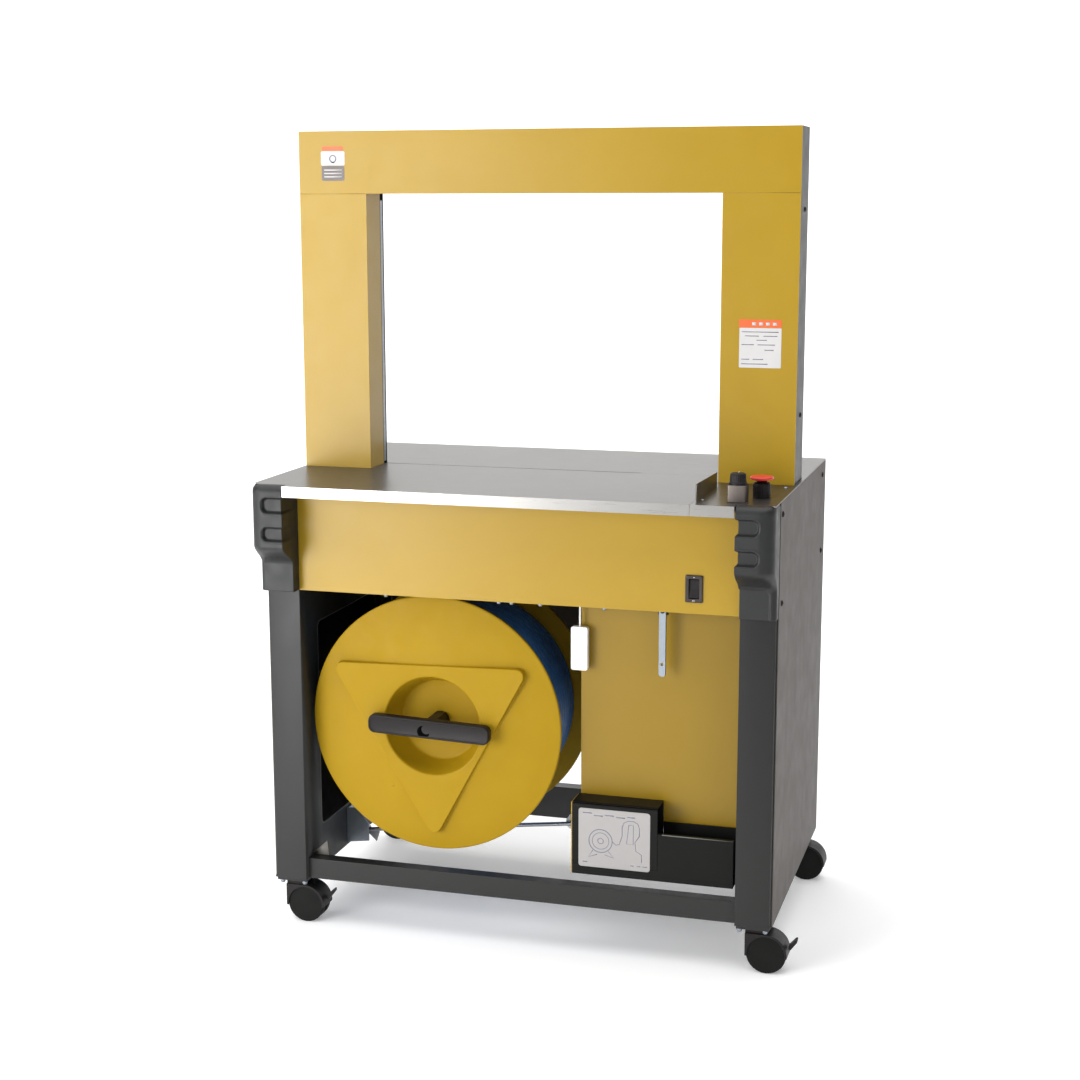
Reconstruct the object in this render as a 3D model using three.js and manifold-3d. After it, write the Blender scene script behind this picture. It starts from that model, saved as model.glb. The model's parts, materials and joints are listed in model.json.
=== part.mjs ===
// Arch strapping machine on casters: a painted sheet-metal stand with a stainless
// table, a strap reel, a strap pool box, a sealing head under the table and a
// strap arch above it.
// Millimetres, +Z up, front faces -Y. The origin is at the middle of the footprint
// on the floor.
import * as THREE from 'three';
import { mergeVertices } from 'three/addons/utils/BufferGeometryUtils.js';
import Module from 'manifold-3d';

const wasm = await Module();
wasm.setup();

// ---------------------------------------------------------------- driving sizes
const WIDTH = 922;              // across the side panels
const DEPTH = 614;              // front of the bumpers to the back
const OVERHANG = 66;            // bumpers and table lip stand out this far
const STAND_BOTTOM = 90;        // underside of the stand, carried by the casters
const TABLE_TOP = 830;
const ARCH_TOP = 1440;
const ARCH_OPENING = 499;       // clear height under the arch
const SHEET = 2;                // cover sheet
const FRAME_SHEET = 2.5;        // frame sheet
const GAP = 0.3;                // between touching pieces
const LEG_WIDTH = 64;

const HALF = WIDTH / 2;
const FRONT = -DEPTH / 2;
const BACK = DEPTH / 2;
const STAND_FRONT = FRONT + OVERHANG;
const LEG_INNER = HALF - LEG_WIDTH;

const ARCH_LEFT = -459;
const ARCH_RIGHT = 455;
const OPENING_LEFT = -330;
const OPENING_RIGHT = 321;
const ARCH_FRONT = -54;
const ARCH_SPLIT = 13;          // front cover ends here, strap track starts
const ARCH_BACK = 31;
const BEAM_BOTTOM = TABLE_TOP + ARCH_OPENING;

const SEAM_Y = 20.5;            // seam between the two table plates
const SLOT_END = 166;           // the seam is an open strap slot up to here
const LIP = 19;                 // height of the folded table front
const SEAM_X = 322;             // front table meets the control panel

const REEL = { x: -158.5, z: 393.5, radius: 234, front: -197, back: 13 };
const PANEL_BOTTOM = 634;       // lower edge of the yellow front panel
const DECK = 640;               // carries the sealing head

const POOL = { left: 102, right: 390, front: -159, depth: 42, bottom: 228, top: 630 };
const TROUGH = { left: 100, right: 388, front: -212, back: -163, bottom: 145, top: 231 };
const LABEL_BOX = { right: 254, top: 277 };

const CASTER_X = HALF - LEG_WIDTH / 2;
const CASTER_INSET = 39;
const CASTER_PAD = 6;           // the casters' mounting pads stand out below the stand
const WHEEL_RADIUS = 35;
const HOOD_RADIUS = 36.8;
const TRAIL = 20;               // wheel axle behind the swivel axis
const PEDAL_REACH = 72;         // brake pedal's tip from the swivel axis

// ---------------------------------------------------------------- materials
const finishes = {
  yellow: [0xc4a03c, 0.45, 0.1],
  frame: [0x4a4a4a, 0.5, 0.2],
  skin: [0x76706c, 0.5, 0.2],
  black: [0x1c1c1d, 0.55, 0.0],
  bumper: [0x3d3f3f, 0.55, 0.0],
  stainless: [0xaaaaa5, 0.28, 1.0],
  steel: [0x8f9194, 0.4, 0.9],
  zinc: [0x9aa3ab, 0.4, 0.8],
  reel: [0xcfaa2d, 0.4, 0.0],
  strap: [0x233c6e, 0.45, 0.0],
  red: [0xd2311f, 0.35, 0.0],
  white: [0xe4e4e2, 0.5, 0.0],
  brass: [0xb08d48, 0.4, 0.9],
};

// The casters trail out past the right side, so the stand is set off to the left to
// keep the whole machine's box centred on the origin.
const machine = new THREE.Group();
machine.position.x = (HALF - CASTER_X - PEDAL_REACH) / 2;

function place(name, finish, geometry, parent = machine) {
  const [color, roughness, metalness] = finishes[finish];
  const material = new THREE.MeshStandardMaterial({ color, roughness, metalness });
  const mesh = new THREE.Mesh(geometry, material);
  mesh.name = name;
  parent.add(mesh);
  return mesh;
}

// ---------------------------------------------------------------- solids
function signedVolume(position, index) {
  const [a, b, c] = [new THREE.Vector3(), new THREE.Vector3(), new THREE.Vector3()];
  let volume = 0;
  for (let i = 0; i < index.length; i += 3) {
    a.fromBufferAttribute(position, index[i]);
    b.fromBufferAttribute(position, index[i + 1]);
    c.fromBufferAttribute(position, index[i + 2]);
    volume += a.dot(b.cross(c)) / 6;
  }
  return volume;
}

// Merges shared vertices, drops the slivers on a lathe's axis, turns faces outwards.
function closed(geometry) {
  const plain = geometry.index ? geometry.toNonIndexed() : geometry.clone();
  plain.deleteAttribute('normal');
  plain.deleteAttribute('uv');
  const merged = mergeVertices(plain, 1e-3);
  const index = [];
  const all = merged.index.array;
  for (let i = 0; i < all.length; i += 3) {
    const [a, b, c] = [all[i], all[i + 1], all[i + 2]];
    if (a !== b && b !== c && c !== a) index.push(a, b, c);
  }
  if (signedVolume(merged.attributes.position, index) < 0) index.reverse();
  merged.setIndex(index);
  return merged;
}

function solid(geometry) {
  const shape = closed(geometry);
  return new wasm.Manifold(new wasm.Mesh({
    numProp: 3,
    vertProperties: new Float32Array(shape.attributes.position.array),
    triVerts: new Uint32Array(shape.index.array),
  }));
}

function fromSolid(result) {
  const mesh = result.getMesh();
  const geometry = new THREE.BufferGeometry();
  const points = new Float32Array(mesh.vertProperties);
  geometry.setAttribute('position', new THREE.BufferAttribute(points, 3));
  geometry.setIndex(Array.from(mesh.triVerts));
  return geometry;
}

function join(...parts) {
  const [first, ...rest] = parts.map(solid);
  return fromSolid(rest.reduce((sum, part) => sum.add(part), first));
}

function cut(body, ...tools) {
  return fromSolid(tools.map(solid).reduce((left, tool) => left.subtract(tool), solid(body)));
}

function overlap(a, b) {
  return fromSolid(solid(a).intersect(solid(b)));
}

function box(x0, x1, y0, y1, z0, z1) {
  const geometry = new THREE.BoxGeometry(x1 - x0, y1 - y0, z1 - z0);
  return geometry.translate((x0 + x1) / 2, (y0 + y1) / 2, (z0 + z1) / 2);
}

function shapeOf(points) {
  return new THREE.Shape(points.map(([u, v]) => new THREE.Vector2(u, v)));
}

const ALONG = {
  x: new THREE.Matrix4().set(0, 0, 1, 0, 1, 0, 0, 0, 0, 1, 0, 0, 0, 0, 0, 1),
  y: new THREE.Matrix4().set(1, 0, 0, 0, 0, 0, -1, 0, 0, 1, 0, 0, 0, 0, 0, 1),
  z: new THREE.Matrix4(),
};

// Extrudes a shape along an axis. Along x it is drawn in (Y, Z), along y in (X, Z)
// and along z in (X, Y).
function extrude(shape, axis, from, to, curveSegments = 8) {
  const options = { depth: to - from, bevelEnabled: false, curveSegments };
  const geometry = closed(new THREE.ExtrudeGeometry(shape, options));
  geometry.applyMatrix4(ALONG[axis]);
  const start = { x: [from, 0, 0], y: [0, to, 0], z: [0, 0, from] }[axis];
  return geometry.translate(...start);
}

function roundedRect(u0, u1, v0, v1, r) {
  const shape = new THREE.Shape();
  shape.moveTo(u0 + r, v0);
  shape.lineTo(u1 - r, v0);
  shape.absarc(u1 - r, v0 + r, r, -Math.PI / 2, 0);
  shape.lineTo(u1, v1 - r);
  shape.absarc(u1 - r, v1 - r, r, 0, Math.PI / 2);
  shape.lineTo(u0 + r, v1);
  shape.absarc(u0 + r, v1 - r, r, Math.PI / 2, Math.PI);
  shape.lineTo(u0, v0 + r);
  shape.absarc(u0 + r, v0 + r, r, Math.PI, 1.5 * Math.PI);
  return shape;
}

// A bent sheet's section: its outer face follows the points, and its thickness is
// on their right-hand side.
function sheetSection(points, thickness) {
  const normals = points.slice(1).map(([u, v], i) => {
    const [u0, v0] = points[i];
    const length = Math.hypot(u - u0, v - v0);
    return [(v - v0) / length, -(u - u0) / length];
  });
  const inner = points.map(([u, v], i) => {
    const a = normals[Math.max(i - 1, 0)];
    const b = normals[Math.min(i, normals.length - 1)];
    const scale = thickness / (1 + a[0] * b[0] + a[1] * b[1]);
    return [u + (a[0] + b[0]) * scale, v + (a[1] + b[1]) * scale];
  });
  return shapeOf([...points, ...inner.reverse()]);
}

// Turns a profile of [radius, height] points about the world Y or Z axis.
function lathe(profile, axis, segments) {
  const points = profile.map(([r, h]) => new THREE.Vector2(r, h));
  const geometry = new THREE.LatheGeometry(points, segments);
  return axis === 'z' ? geometry.rotateX(Math.PI / 2) : geometry;
}

function rod(radius, axis, from, to, segments = 20) {
  return lathe([[0, from], [radius, from], [radius, to], [0, to]], axis, segments);
}

function ring(inner, outer, axis, from, to, segments) {
  const profile = [[inner, from], [outer, from], [outer, to], [inner, to], [inner, from]];
  return lathe(profile, axis, segments);
}

// ---------------------------------------------------------------- stand
// The side frame is one bent sheet: a front leg, an inner wall with a large
// cut-out and a rear leg, closed below by two plates with a pad for each caster.
function sideFrame(side) {
  const outer = HALF - SHEET - 0.5;
  const corner = 6;
  const path = [
    [outer, STAND_FRONT + 30], [outer, STAND_FRONT + corner],
    [outer - 1.8, STAND_FRONT + 1.8], [outer - corner, STAND_FRONT],
    [LEG_INNER, STAND_FRONT], [LEG_INNER, BACK], [outer, BACK], [outer, BACK - 30],
  ];
  const inward = path.map(([x, y]) => [side * x, y]);
  const section = sheetSection(inward, side * FRAME_SHEET);
  const body = extrude(section, 'z', STAND_BOTTOM, TABLE_TOP - SHEET - GAP);
  const [x0, x1] = side > 0 ? [LEG_INNER, outer - 0.01] : [-outer + 0.01, -LEG_INNER];
  const plates = [[STAND_FRONT, STAND_FRONT + 80], [BACK - 80, BACK]].flatMap(([y0, y1]) => [
    box(x0, x1, y0 + 0.01, y1 - 0.01, STAND_BOTTOM, STAND_BOTTOM + 4),
    box(x0 + 2, x1 - 2, y0 + 4, y1 - 4, STAND_BOTTOM - CASTER_PAD, STAND_BOTTOM + 1),
  ]);
  const wall = side > 0 ? [LEG_INNER - 5, LEG_INNER + 5] : [-LEG_INNER - 5, -LEG_INNER + 5];
  const opening = extrude(roundedRect(STAND_FRONT + 77, 222, 170, 560, 14), 'x', ...wall, 4);
  return cut(join(body, ...plates), opening);
}

function sidePanel(side) {
  const [x0, x1] = side > 0 ? [HALF - SHEET, HALF] : [-HALF, -HALF + SHEET];
  return box(x0, x1, STAND_FRONT + 8, BACK, STAND_BOTTOM, TABLE_TOP - SHEET - GAP);
}

const railEnd = LEG_INNER - GAP;

// An upside-down channel between the legs, with a gusset welded on at the left end.
function frontRail() {
  const [y0, y1] = [STAND_FRONT + 12, STAND_FRONT + 38];
  const top = STAND_BOTTOM + 38;
  const section = sheetSection(
    [[y1, STAND_BOTTOM], [y1, top], [y0, top], [y0, STAND_BOTTOM]], -FRAME_SHEET);
  const channel = extrude(section, 'x', -railEnd, railEnd);
  const gusset = shapeOf([[-railEnd, top - 1], [-railEnd + 31, top - 1], [-railEnd + 31, top + 3],
    [-railEnd + 28, top + 29], [-railEnd, top + 4]]);
  return join(channel, extrude(gusset, 'y', y1 - FRAME_SHEET, y1));
}

function rearRail() {
  const [y0, y1] = [223, 251];
  const top = STAND_BOTTOM + 65;
  const section = sheetSection(
    [[y1, STAND_BOTTOM], [y1, top], [y0, top], [y0, STAND_BOTTOM]], -FRAME_SHEET);
  return extrude(section, 'x', -railEnd, railEnd);
}

// Two rollers pinch the strap and push it up into the track. Their bracket is
// welded on the deck.
const FEED = { x: 215, y: 21, z: 700, radius: 30, pinch: 18 };
FEED.rise = FEED.radius + FEED.pinch + 0.8;

function feedBracket() {
  const { x, y, z, rise } = FEED;
  const plate = box(x - 35, x + 35, y + 14, y + 20, DECK + 1, z + 75);
  const foot = box(x - 35, x + 35, y + 14, y + 50, DECK + 1, DECK + 9);
  const drivePin = rod(7.7, 'y', y - 9, y + 16, 20).translate(x, 0, z);
  const pinchPin = rod(5.7, 'y', y - 9, y + 16, 16).translate(x, 0, z + rise);
  return [plate, foot, drivePin, pinchPin];
}

function feedRoller() {
  return ring(8, FEED.radius, 'y', -8, 8, 36).translate(FEED.x, FEED.y, FEED.z);
}

function pinchRoller() {
  return ring(6, FEED.pinch, 'y', -7, 7, 28).translate(FEED.x, FEED.y, FEED.z + FEED.rise);
}

// A grip on a wire and a flat lever hang from lugs under the deck.
const GRIP = { x: 103, y: -172, top: 584, bottom: 506, pivot: 632 };
const LEVER = { x: 254, y: -187, bottom: 508, pivot: 624 };

function deckLugs() {
  const hook = box(GRIP.x - 4, GRIP.x + 4, GRIP.y - 4, GRIP.y + 4, GRIP.pivot + GAP, DECK + 1);
  const { x, y, pivot } = LEVER;
  const lug = box(x - 9, x + 9, y + 4, y + 7, pivot - 8, DECK + 1);
  const pin = rod(4, 'y', y - 5, y + 5, 16).translate(x, 0, pivot);
  return [hook, lug, pin];
}

// The deck has an opening under the rollers for the loops that enter the pool.
function deckPlate() {
  const plate = box(-railEnd, railEnd, STAND_FRONT + 6, BACK - 6, DECK, DECK + 4);
  const slot = box(150, 360, -150, -110, DECK - 1, DECK + 5);
  return join(cut(plate, slot), ...feedBracket(), ...deckLugs());
}

const SWITCH = { x: 319, z: 677, width: 30, height: 47 };

function frontPanel() {
  const z1 = TABLE_TOP - LIP - GAP;
  const section = sheetSection([[STAND_FRONT + 28, PANEL_BOTTOM], [STAND_FRONT, PANEL_BOTTOM],
    [STAND_FRONT, z1], [STAND_FRONT + 14, z1]], SHEET);
  const sheet = extrude(section, 'x', -railEnd, railEnd);
  const { x, z } = SWITCH;
  return cut(sheet, box(x - 12, x + 12, STAND_FRONT - 5, STAND_FRONT + 8, z - 20, z + 20));
}

const INLET = { x: 300, z: 345 };

function rearPanel() {
  const plate = box(-railEnd, railEnd, BACK - SHEET, BACK, 300, TABLE_TOP - SHEET - GAP);
  const { x, z } = INLET;
  return cut(plate, box(x - 15, x + 15, BACK - 5, BACK + 5, z - 12, z + 12));
}

// A rear appliance inlet, with its flange on the panel and its shell inside.
function powerInlet() {
  const { x, z } = INLET;
  const flange = box(x - 24, x + 24, BACK - SHEET - GAP - 2, BACK - SHEET - GAP, z - 17, z + 17);
  const shell = box(x - 14, x + 14, BACK - 30, BACK - GAP, z - 11, z + 11);
  const socket = box(x - 11, x + 11, BACK - 16, BACK + 1, z - 8, z + 8);
  return cut(join(flange, shell), socket);
}

place('left_side_frame', 'frame', sideFrame(-1));
place('right_side_frame', 'frame', sideFrame(1));
place('left_side_panel', 'skin', sidePanel(-1));
place('right_side_panel', 'skin', sidePanel(1));
place('front_rail', 'frame', frontRail());
place('rear_rail', 'black', rearRail());
place('deck_plate', 'frame', deckPlate());
place('front_panel', 'yellow', frontPanel());
place('rear_panel', 'skin', rearPanel());
place('power_inlet', 'black', powerInlet());

// ---------------------------------------------------------------- table
const tableLow = TABLE_TOP - SHEET;
const BUMPER_BACK = -286;       // the bumpers' tops end here and the plates begin

function frontTable() {
  const corner = -LEG_INNER + GAP;
  const columnFront = ARCH_FRONT - 1;
  const outline = shapeOf([
    [corner, FRONT], [SEAM_X, FRONT], [SEAM_X, columnFront], [OPENING_RIGHT - 1, columnFront],
    [OPENING_RIGHT - 1, SEAM_Y - 0.5], [SLOT_END, SEAM_Y - 0.5], [SLOT_END, SEAM_Y - 2.5],
    [OPENING_LEFT + 1, SEAM_Y - 2.5], [OPENING_LEFT + 1, columnFront], [-HALF, columnFront],
    [-HALF, BUMPER_BACK], [corner, BUMPER_BACK]]);
  const plate = extrude(outline, 'z', tableLow, TABLE_TOP);
  const lip = box(corner, SEAM_X, FRONT, FRONT + SHEET, TABLE_TOP - LIP, TABLE_TOP - 0.5);
  return join(plate, lip);
}

function rearTable() {
  const behind = ARCH_BACK + 0.8;
  const outline = shapeOf([
    [-HALF, BACK], [-HALF, behind], [OPENING_LEFT + 1, behind], [OPENING_LEFT + 1, SEAM_Y + 2.5],
    [SLOT_END, SEAM_Y + 2.5], [SLOT_END, SEAM_Y + 0.5], [OPENING_RIGHT - 1, SEAM_Y + 0.5],
    [OPENING_RIGHT - 1, behind], [HALF, behind], [HALF, BACK]]);
  return extrude(outline, 'z', tableLow, TABLE_TOP);
}

// The control panel's left edge stands up as a guard between it and the table.
function controlPanel() {
  const left = SEAM_X + 0.6;
  const corner = LEG_INNER - 1;
  const outline = shapeOf([
    [left, FRONT], [corner, FRONT], [corner, BUMPER_BACK], [HALF, BUMPER_BACK],
    [HALF, ARCH_BACK], [ARCH_RIGHT + 0.8, ARCH_BACK], [ARCH_RIGHT + 0.8, ARCH_FRONT - 0.8],
    [left, ARCH_FRONT - 0.8]]);
  const plate = extrude(outline, 'z', tableLow, TABLE_TOP);
  const lip = box(left, corner, FRONT, FRONT + SHEET, TABLE_TOP - LIP, TABLE_TOP - 0.5);
  const guardShape = shapeOf([[-272, TABLE_TOP - 0.5], [-100, TABLE_TOP - 0.5],
    [-100, TABLE_TOP + 25], [-274, TABLE_TOP + 30], [-276, TABLE_TOP + 20]]);
  return join(plate, lip, extrude(guardShape, 'x', 326, 328));
}

// Moulded corner: the plan outline, rounded on the outer corner, cut by a side
// profile that is full above and drawn in below.
function cornerBumper(side) {
  const [inner, outer] = [LEG_INNER, HALF];
  const plan = new THREE.Shape();
  plan.moveTo(inner, STAND_FRONT - GAP);
  plan.lineTo(inner, FRONT + 4);
  plan.lineTo(inner + 4, FRONT);
  plan.lineTo(outer - 26, FRONT);
  plan.absarc(outer - 26, FRONT + 26, 26, -Math.PI / 2, 0);
  plan.lineTo(outer, STAND_FRONT - GAP);
  const top = tableLow - GAP;
  const profile = shapeOf([
    [STAND_FRONT, PANEL_BOTTOM], [STAND_FRONT, top], [BUMPER_BACK, top],
    [BUMPER_BACK - 0.6, TABLE_TOP], [FRONT + 12, TABLE_TOP], [FRONT + 4, TABLE_TOP - 4],
    [FRONT, TABLE_TOP - 12], [FRONT, 724], [FRONT + 6, 710], [FRONT + 30, 699],
    [FRONT + 38, 690], [FRONT + 44, PANEL_BOTTOM]]);
  const upright = extrude(plan, 'z', PANEL_BOTTOM - 1, TABLE_TOP + 1, 6);
  const body = overlap(upright, extrude(profile, 'x', inner - 1, outer + 1));
  return side > 0 ? body : closed(body.scale(-1, 1, 1));
}

place('front_table', 'stainless', frontTable());
place('rear_table', 'stainless', rearTable());
place('control_panel', 'stainless', controlPanel());
place('left_bumper', 'bumper', cornerBumper(-1));
place('right_bumper', 'bumper', cornerBumper(1));

// ---------------------------------------------------------------- arch
const archFoot = tableLow;

// The arch's outline in (X, Z), inset by the given amounts.
function archOutline(outer, inner) {
  const [x0, x1] = [ARCH_LEFT + outer, ARCH_RIGHT - outer];
  const [u0, u1] = [OPENING_LEFT - inner, OPENING_RIGHT + inner];
  const [z0, z1, z2] = [archFoot, BEAM_BOTTOM + inner, ARCH_TOP - outer];
  return shapeOf([[x0, z0], [u0, z0], [u0, z1], [u1, z1], [u1, z0], [x1, z0], [x1, z2], [x0, z2]]);
}

function openingBand(inner, outer) {
  const [a, b] = [inner, outer];
  return shapeOf([
    [OPENING_LEFT - b, archFoot], [OPENING_LEFT - a, archFoot], [OPENING_LEFT - a, BEAM_BOTTOM + a],
    [OPENING_RIGHT + a, BEAM_BOTTOM + a], [OPENING_RIGHT + a, archFoot],
    [OPENING_RIGHT + b, archFoot], [OPENING_RIGHT + b, BEAM_BOTTOM + b],
    [OPENING_LEFT - b, BEAM_BOTTOM + b]]);
}

function outsideBand(outer, inner) {
  const [a, b] = [outer, inner];
  return shapeOf([
    [ARCH_LEFT + a, archFoot], [ARCH_LEFT + b, archFoot], [ARCH_LEFT + b, ARCH_TOP - b],
    [ARCH_RIGHT - b, ARCH_TOP - b], [ARCH_RIGHT - b, archFoot], [ARCH_RIGHT - a, archFoot],
    [ARCH_RIGHT - a, ARCH_TOP - a], [ARCH_LEFT + a, ARCH_TOP - a]]);
}

function archFrontCover() {
  const face = extrude(archOutline(0, 0), 'y', ARCH_FRONT, ARCH_FRONT + SHEET);
  const returns = extrude(openingBand(0, SHEET), 'y', ARCH_FRONT, ARCH_SPLIT - GAP);
  return join(face, returns);
}

// The frame is a back plate with the outer side walls and, round the opening, the
// channel of the strap track. The front cover closes it.
function archFrame() {
  const back = extrude(archOutline(0, 0), 'y', ARCH_BACK - SHEET, ARCH_BACK);
  const walls = extrude(outsideBand(0, SHEET), 'y', ARCH_FRONT + SHEET + GAP, ARCH_BACK);
  const channel = extrude(openingBand(0, 12), 'y', ARCH_SPLIT, ARCH_BACK);
  const groove = extrude(openingBand(-1, 9), 'y', ARCH_SPLIT + 3, ARCH_BACK - 3);
  return cut(join(back, walls, channel), groove);
}

// Sprung flaps hold the strap in the track until it is pulled tight.
function sideFlap(side) {
  const x = side < 0 ? OPENING_LEFT - 2.5 : OPENING_RIGHT + 0.5;
  const [y0, y1] = [ARCH_SPLIT + 3.4, ARCH_BACK - 3.4];
  return box(x, x + 2, y0, y1, TABLE_TOP + 4, BEAM_BOTTOM - 12);
}

function topFlap() {
  const [y0, y1] = [ARCH_SPLIT + 3.4, ARCH_BACK - 3.4];
  return box(OPENING_LEFT + 4, OPENING_RIGHT - 4, y0, y1, BEAM_BOTTOM + 0.5, BEAM_BOTTOM + 2.5);
}

place('arch_front_cover', 'yellow', archFrontCover());
place('arch_frame', 'frame', archFrame());
place('left_track_flap', 'steel', sideFlap(-1));
place('right_track_flap', 'steel', sideFlap(1));
place('top_track_flap', 'steel', topFlap());

// ---------------------------------------------------------------- reel
// The reel's pieces are turned about its axis and stand on a group at its centre.
const reelGroup = new THREE.Group();
reelGroup.position.set(REEL.x, 0, REEL.z);
machine.add(reelGroup);

const SHAFT_RADIUS = 14;
const SHAFT_END = -207;
const CORE_RADIUS = 100;
const COIL_RADIUS = 202;
const CUP = { rim: 91, floor: 74, depth: 45 };
const LOCK_BAR = { length: 227, height: 34, depth: 16, front: -239, sleeve: 22 };
const PLATFORM = { inradius: 108, corner: 13, x: -4, z: 3, tilt: 0.026 };

function reelStand() {
  const post = cut(box(-42, 42, 50, 90, -50, DECK - REEL.z - GAP),
    box(-39, 39, 53, 91, -51, DECK - REEL.z - 6));
  return join(post, rod(SHAFT_RADIUS, 'y', SHAFT_END, 52), rod(26, 'y', 38, 52, 24));
}

// An inverted triangle with rounded corners is pressed out of the front flange.
function trianglePlatform(y0, y1) {
  const { inradius, corner, x, z, tilt } = PLATFORM;
  const shape = new THREE.Shape();
  const reach = 2 * (inradius - corner);
  for (const k of [0, 1, 2]) {
    const angle = Math.PI / 6 + k * 2 * Math.PI / 3;
    const [cx, cz] = [reach * Math.cos(angle), reach * Math.sin(angle)];
    shape.absarc(cx, cz, corner, angle - Math.PI / 3, angle + Math.PI / 3);
  }
  shape.closePath();
  return extrude(shape, 'y', y0, y1, 5).rotateY(-tilt).translate(x, 0, z);
}

function frontFlange() {
  const y = REEL.front;
  const dish = lathe([[SHAFT_RADIUS + 1, y + CUP.depth - 13], [CUP.floor, y + CUP.depth - 13],
    [CUP.rim, y - 13], [REEL.radius - 30, y - 4], [REEL.radius, y], [REEL.radius, y + 6],
    [CORE_RADIUS - 5, y + 6], [CORE_RADIUS - 12, y + CUP.depth - 8],
    [SHAFT_RADIUS + 1, y + CUP.depth - 8],
    [SHAFT_RADIUS + 1, y + CUP.depth - 13]], 'y', 48);
  const raised = cut(trianglePlatform(y - 17, y - 1), rod(CUP.rim + 1, 'y', y - 30, y + 30, 48));
  return join(dish, raised);
}

function rearFlange() {
  const y = REEL.back;
  return lathe([[27, y], [REEL.radius, y], [REEL.radius, y + 6], [120, y + 9], [27, y + 9], [27, y]],
    'y', 48);
}

// The core is a drum with a web behind the front flange's cup and a bearing sleeve.
function reelCore() {
  const [y0, y1] = [REEL.front + 6 + GAP, REEL.back - GAP];
  const web = REEL.front + CUP.depth - 8 + GAP;
  const wall = CORE_RADIUS - 4;
  const bore = SHAFT_RADIUS + 1;
  return lathe([[bore, web], [wall, web], [wall, y0], [CORE_RADIUS, y0], [CORE_RADIUS, y1],
    [wall, y1], [wall, web + 5], [24, web + 5], [24, y1], [bore, y1], [bore, web]], 'y', 40);
}

function strapCoil() {
  return ring(CORE_RADIUS + GAP, COIL_RADIUS, 'y', REEL.front + 8, REEL.back - 2, 48);
}

// The lock bar's hexagonal sleeve turns on the reel shaft's end, down in the cup.
function lockHandle() {
  const { length, height, depth, front, sleeve } = LOCK_BAR;
  const half = length / 2;
  const grip = roundedRect(-half, half, -height / 2, height / 2, 12);
  const bar = extrude(grip, 'y', front, front + depth, 4);
  const hexagon = shapeOf([0, 1, 2, 3, 4, 5].map((k) => {
    const angle = k * Math.PI / 3;
    return [sleeve * Math.cos(angle), sleeve * Math.sin(angle)];
  }));
  const hub = extrude(hexagon, 'y', front + depth - 1, REEL.front + CUP.depth - 13 - GAP);
  const bore = rod(SHAFT_RADIUS + 0.5, 'y', SHAFT_END - GAP, 0, 24);
  return cut(join(bar, hub), bore).rotateY(0.035);
}

place('reel_stand', 'frame', reelStand(), reelGroup);
place('front_flange', 'reel', frontFlange(), reelGroup);
place('rear_flange', 'reel', rearFlange(), reelGroup);
place('reel_core', 'reel', reelCore(), reelGroup);
place('strap_coil', 'strap', strapCoil(), reelGroup);
place('reel_lock_handle', 'black', lockHandle(), reelGroup);

// ---------------------------------------------------------------- strap pool and trough
function poolBox() {
  const { left, right, front, depth, bottom, top } = POOL;
  const y0 = front + SHEET + GAP;
  const outside = box(left, right, y0, front + depth, bottom, top);
  return cut(outside, box(left + 2, right - 2, y0 - 1, front + depth - 2, bottom + 2, top + 1));
}

function poolCover() {
  const { left, right, front, bottom, top } = POOL;
  return box(left, right, front, front + SHEET, bottom, top);
}

// A trough for the strap that runs from the brake arm to the pool, open above.
function lowerTrough() {
  const { left, right, front, back, bottom, top } = TROUGH;
  const section = sheetSection([[back, top + 8], [back, bottom], [front, bottom], [front, top],
    [front + 8, top]], SHEET);
  const channel = extrude(section, 'x', left, right);
  return cut(channel, box(left - 1, LABEL_BOX.right + GAP, front - 1, back + 1, bottom + 20, top + 20));
}

// The box at the trough's left end carries the threading label.
function labelBox() {
  const { left, front, back, bottom } = TROUGH;
  const { right, top } = LABEL_BOX;
  const section = new THREE.Shape();
  section.moveTo(front, bottom + 20 + GAP);
  section.lineTo(front, top - 8);
  section.absarc(front + 8, top - 8, 8, Math.PI, Math.PI / 2, true);
  section.lineTo(back, top);
  section.lineTo(back, bottom + 20 + GAP);
  const hollow = box(left + 2, right + 1, front + 2, back - 2, bottom, top - 2);
  return cut(extrude(section, 'x', left, right, 5), hollow);
}

function releaseGrip() {
  const { x, y, top, bottom, pivot } = GRIP;
  const block = extrude(roundedRect(x - 15, x + 15, bottom, top, 4), 'y', y - 6, y + 6, 3);
  const wire = box(x - 1.5, x + 1.5, y - 1.5, y + 1.5, top - 1, pivot - 0.6);
  return join(block, wire);
}

function feedLever() {
  const { x, y, bottom, pivot } = LEVER;
  const bar = extrude(roundedRect(x - 6, x + 6, bottom, pivot + 9, 5), 'y', y - 3, y + 3, 3);
  const eye = rod(2.5, 'y', y - 5, y + 5, 12).translate(x, 0, bottom + 22);
  const bore = rod(4.2, 'y', y - 5, y + 5, 16).translate(x, 0, pivot);
  return cut(bar, eye, bore);
}

place('pool_box', 'frame', poolBox());
place('pool_cover', 'yellow', poolCover());
place('lower_trough', 'frame', lowerTrough());
place('label_box', 'frame', labelBox());
place('release_grip', 'white', releaseGrip());
place('feed_lever', 'zinc', feedLever());

// ---------------------------------------------------------------- reel brake
const ARM = { x: -367, y: -31, z: 120, reach: 425, slope: 0.122 };

function brakeBracket() {
  const { x, y } = ARM;
  const plate = extrude(shapeOf([[-railEnd + 1, 96], [x + 15, 102], [x + 15, 134], [x - 4, 165],
    [-railEnd + 1, 165]]), 'y', y - 12, y - 9);
  const foot = box(-railEnd, -railEnd + 3, y - 12, y + 26, 96, 165);
  const pin = rod(4, 'y', y - 10, y + 12, 16).translate(x, 0, ARM.z);
  return join(plate, foot, pin);
}

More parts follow.
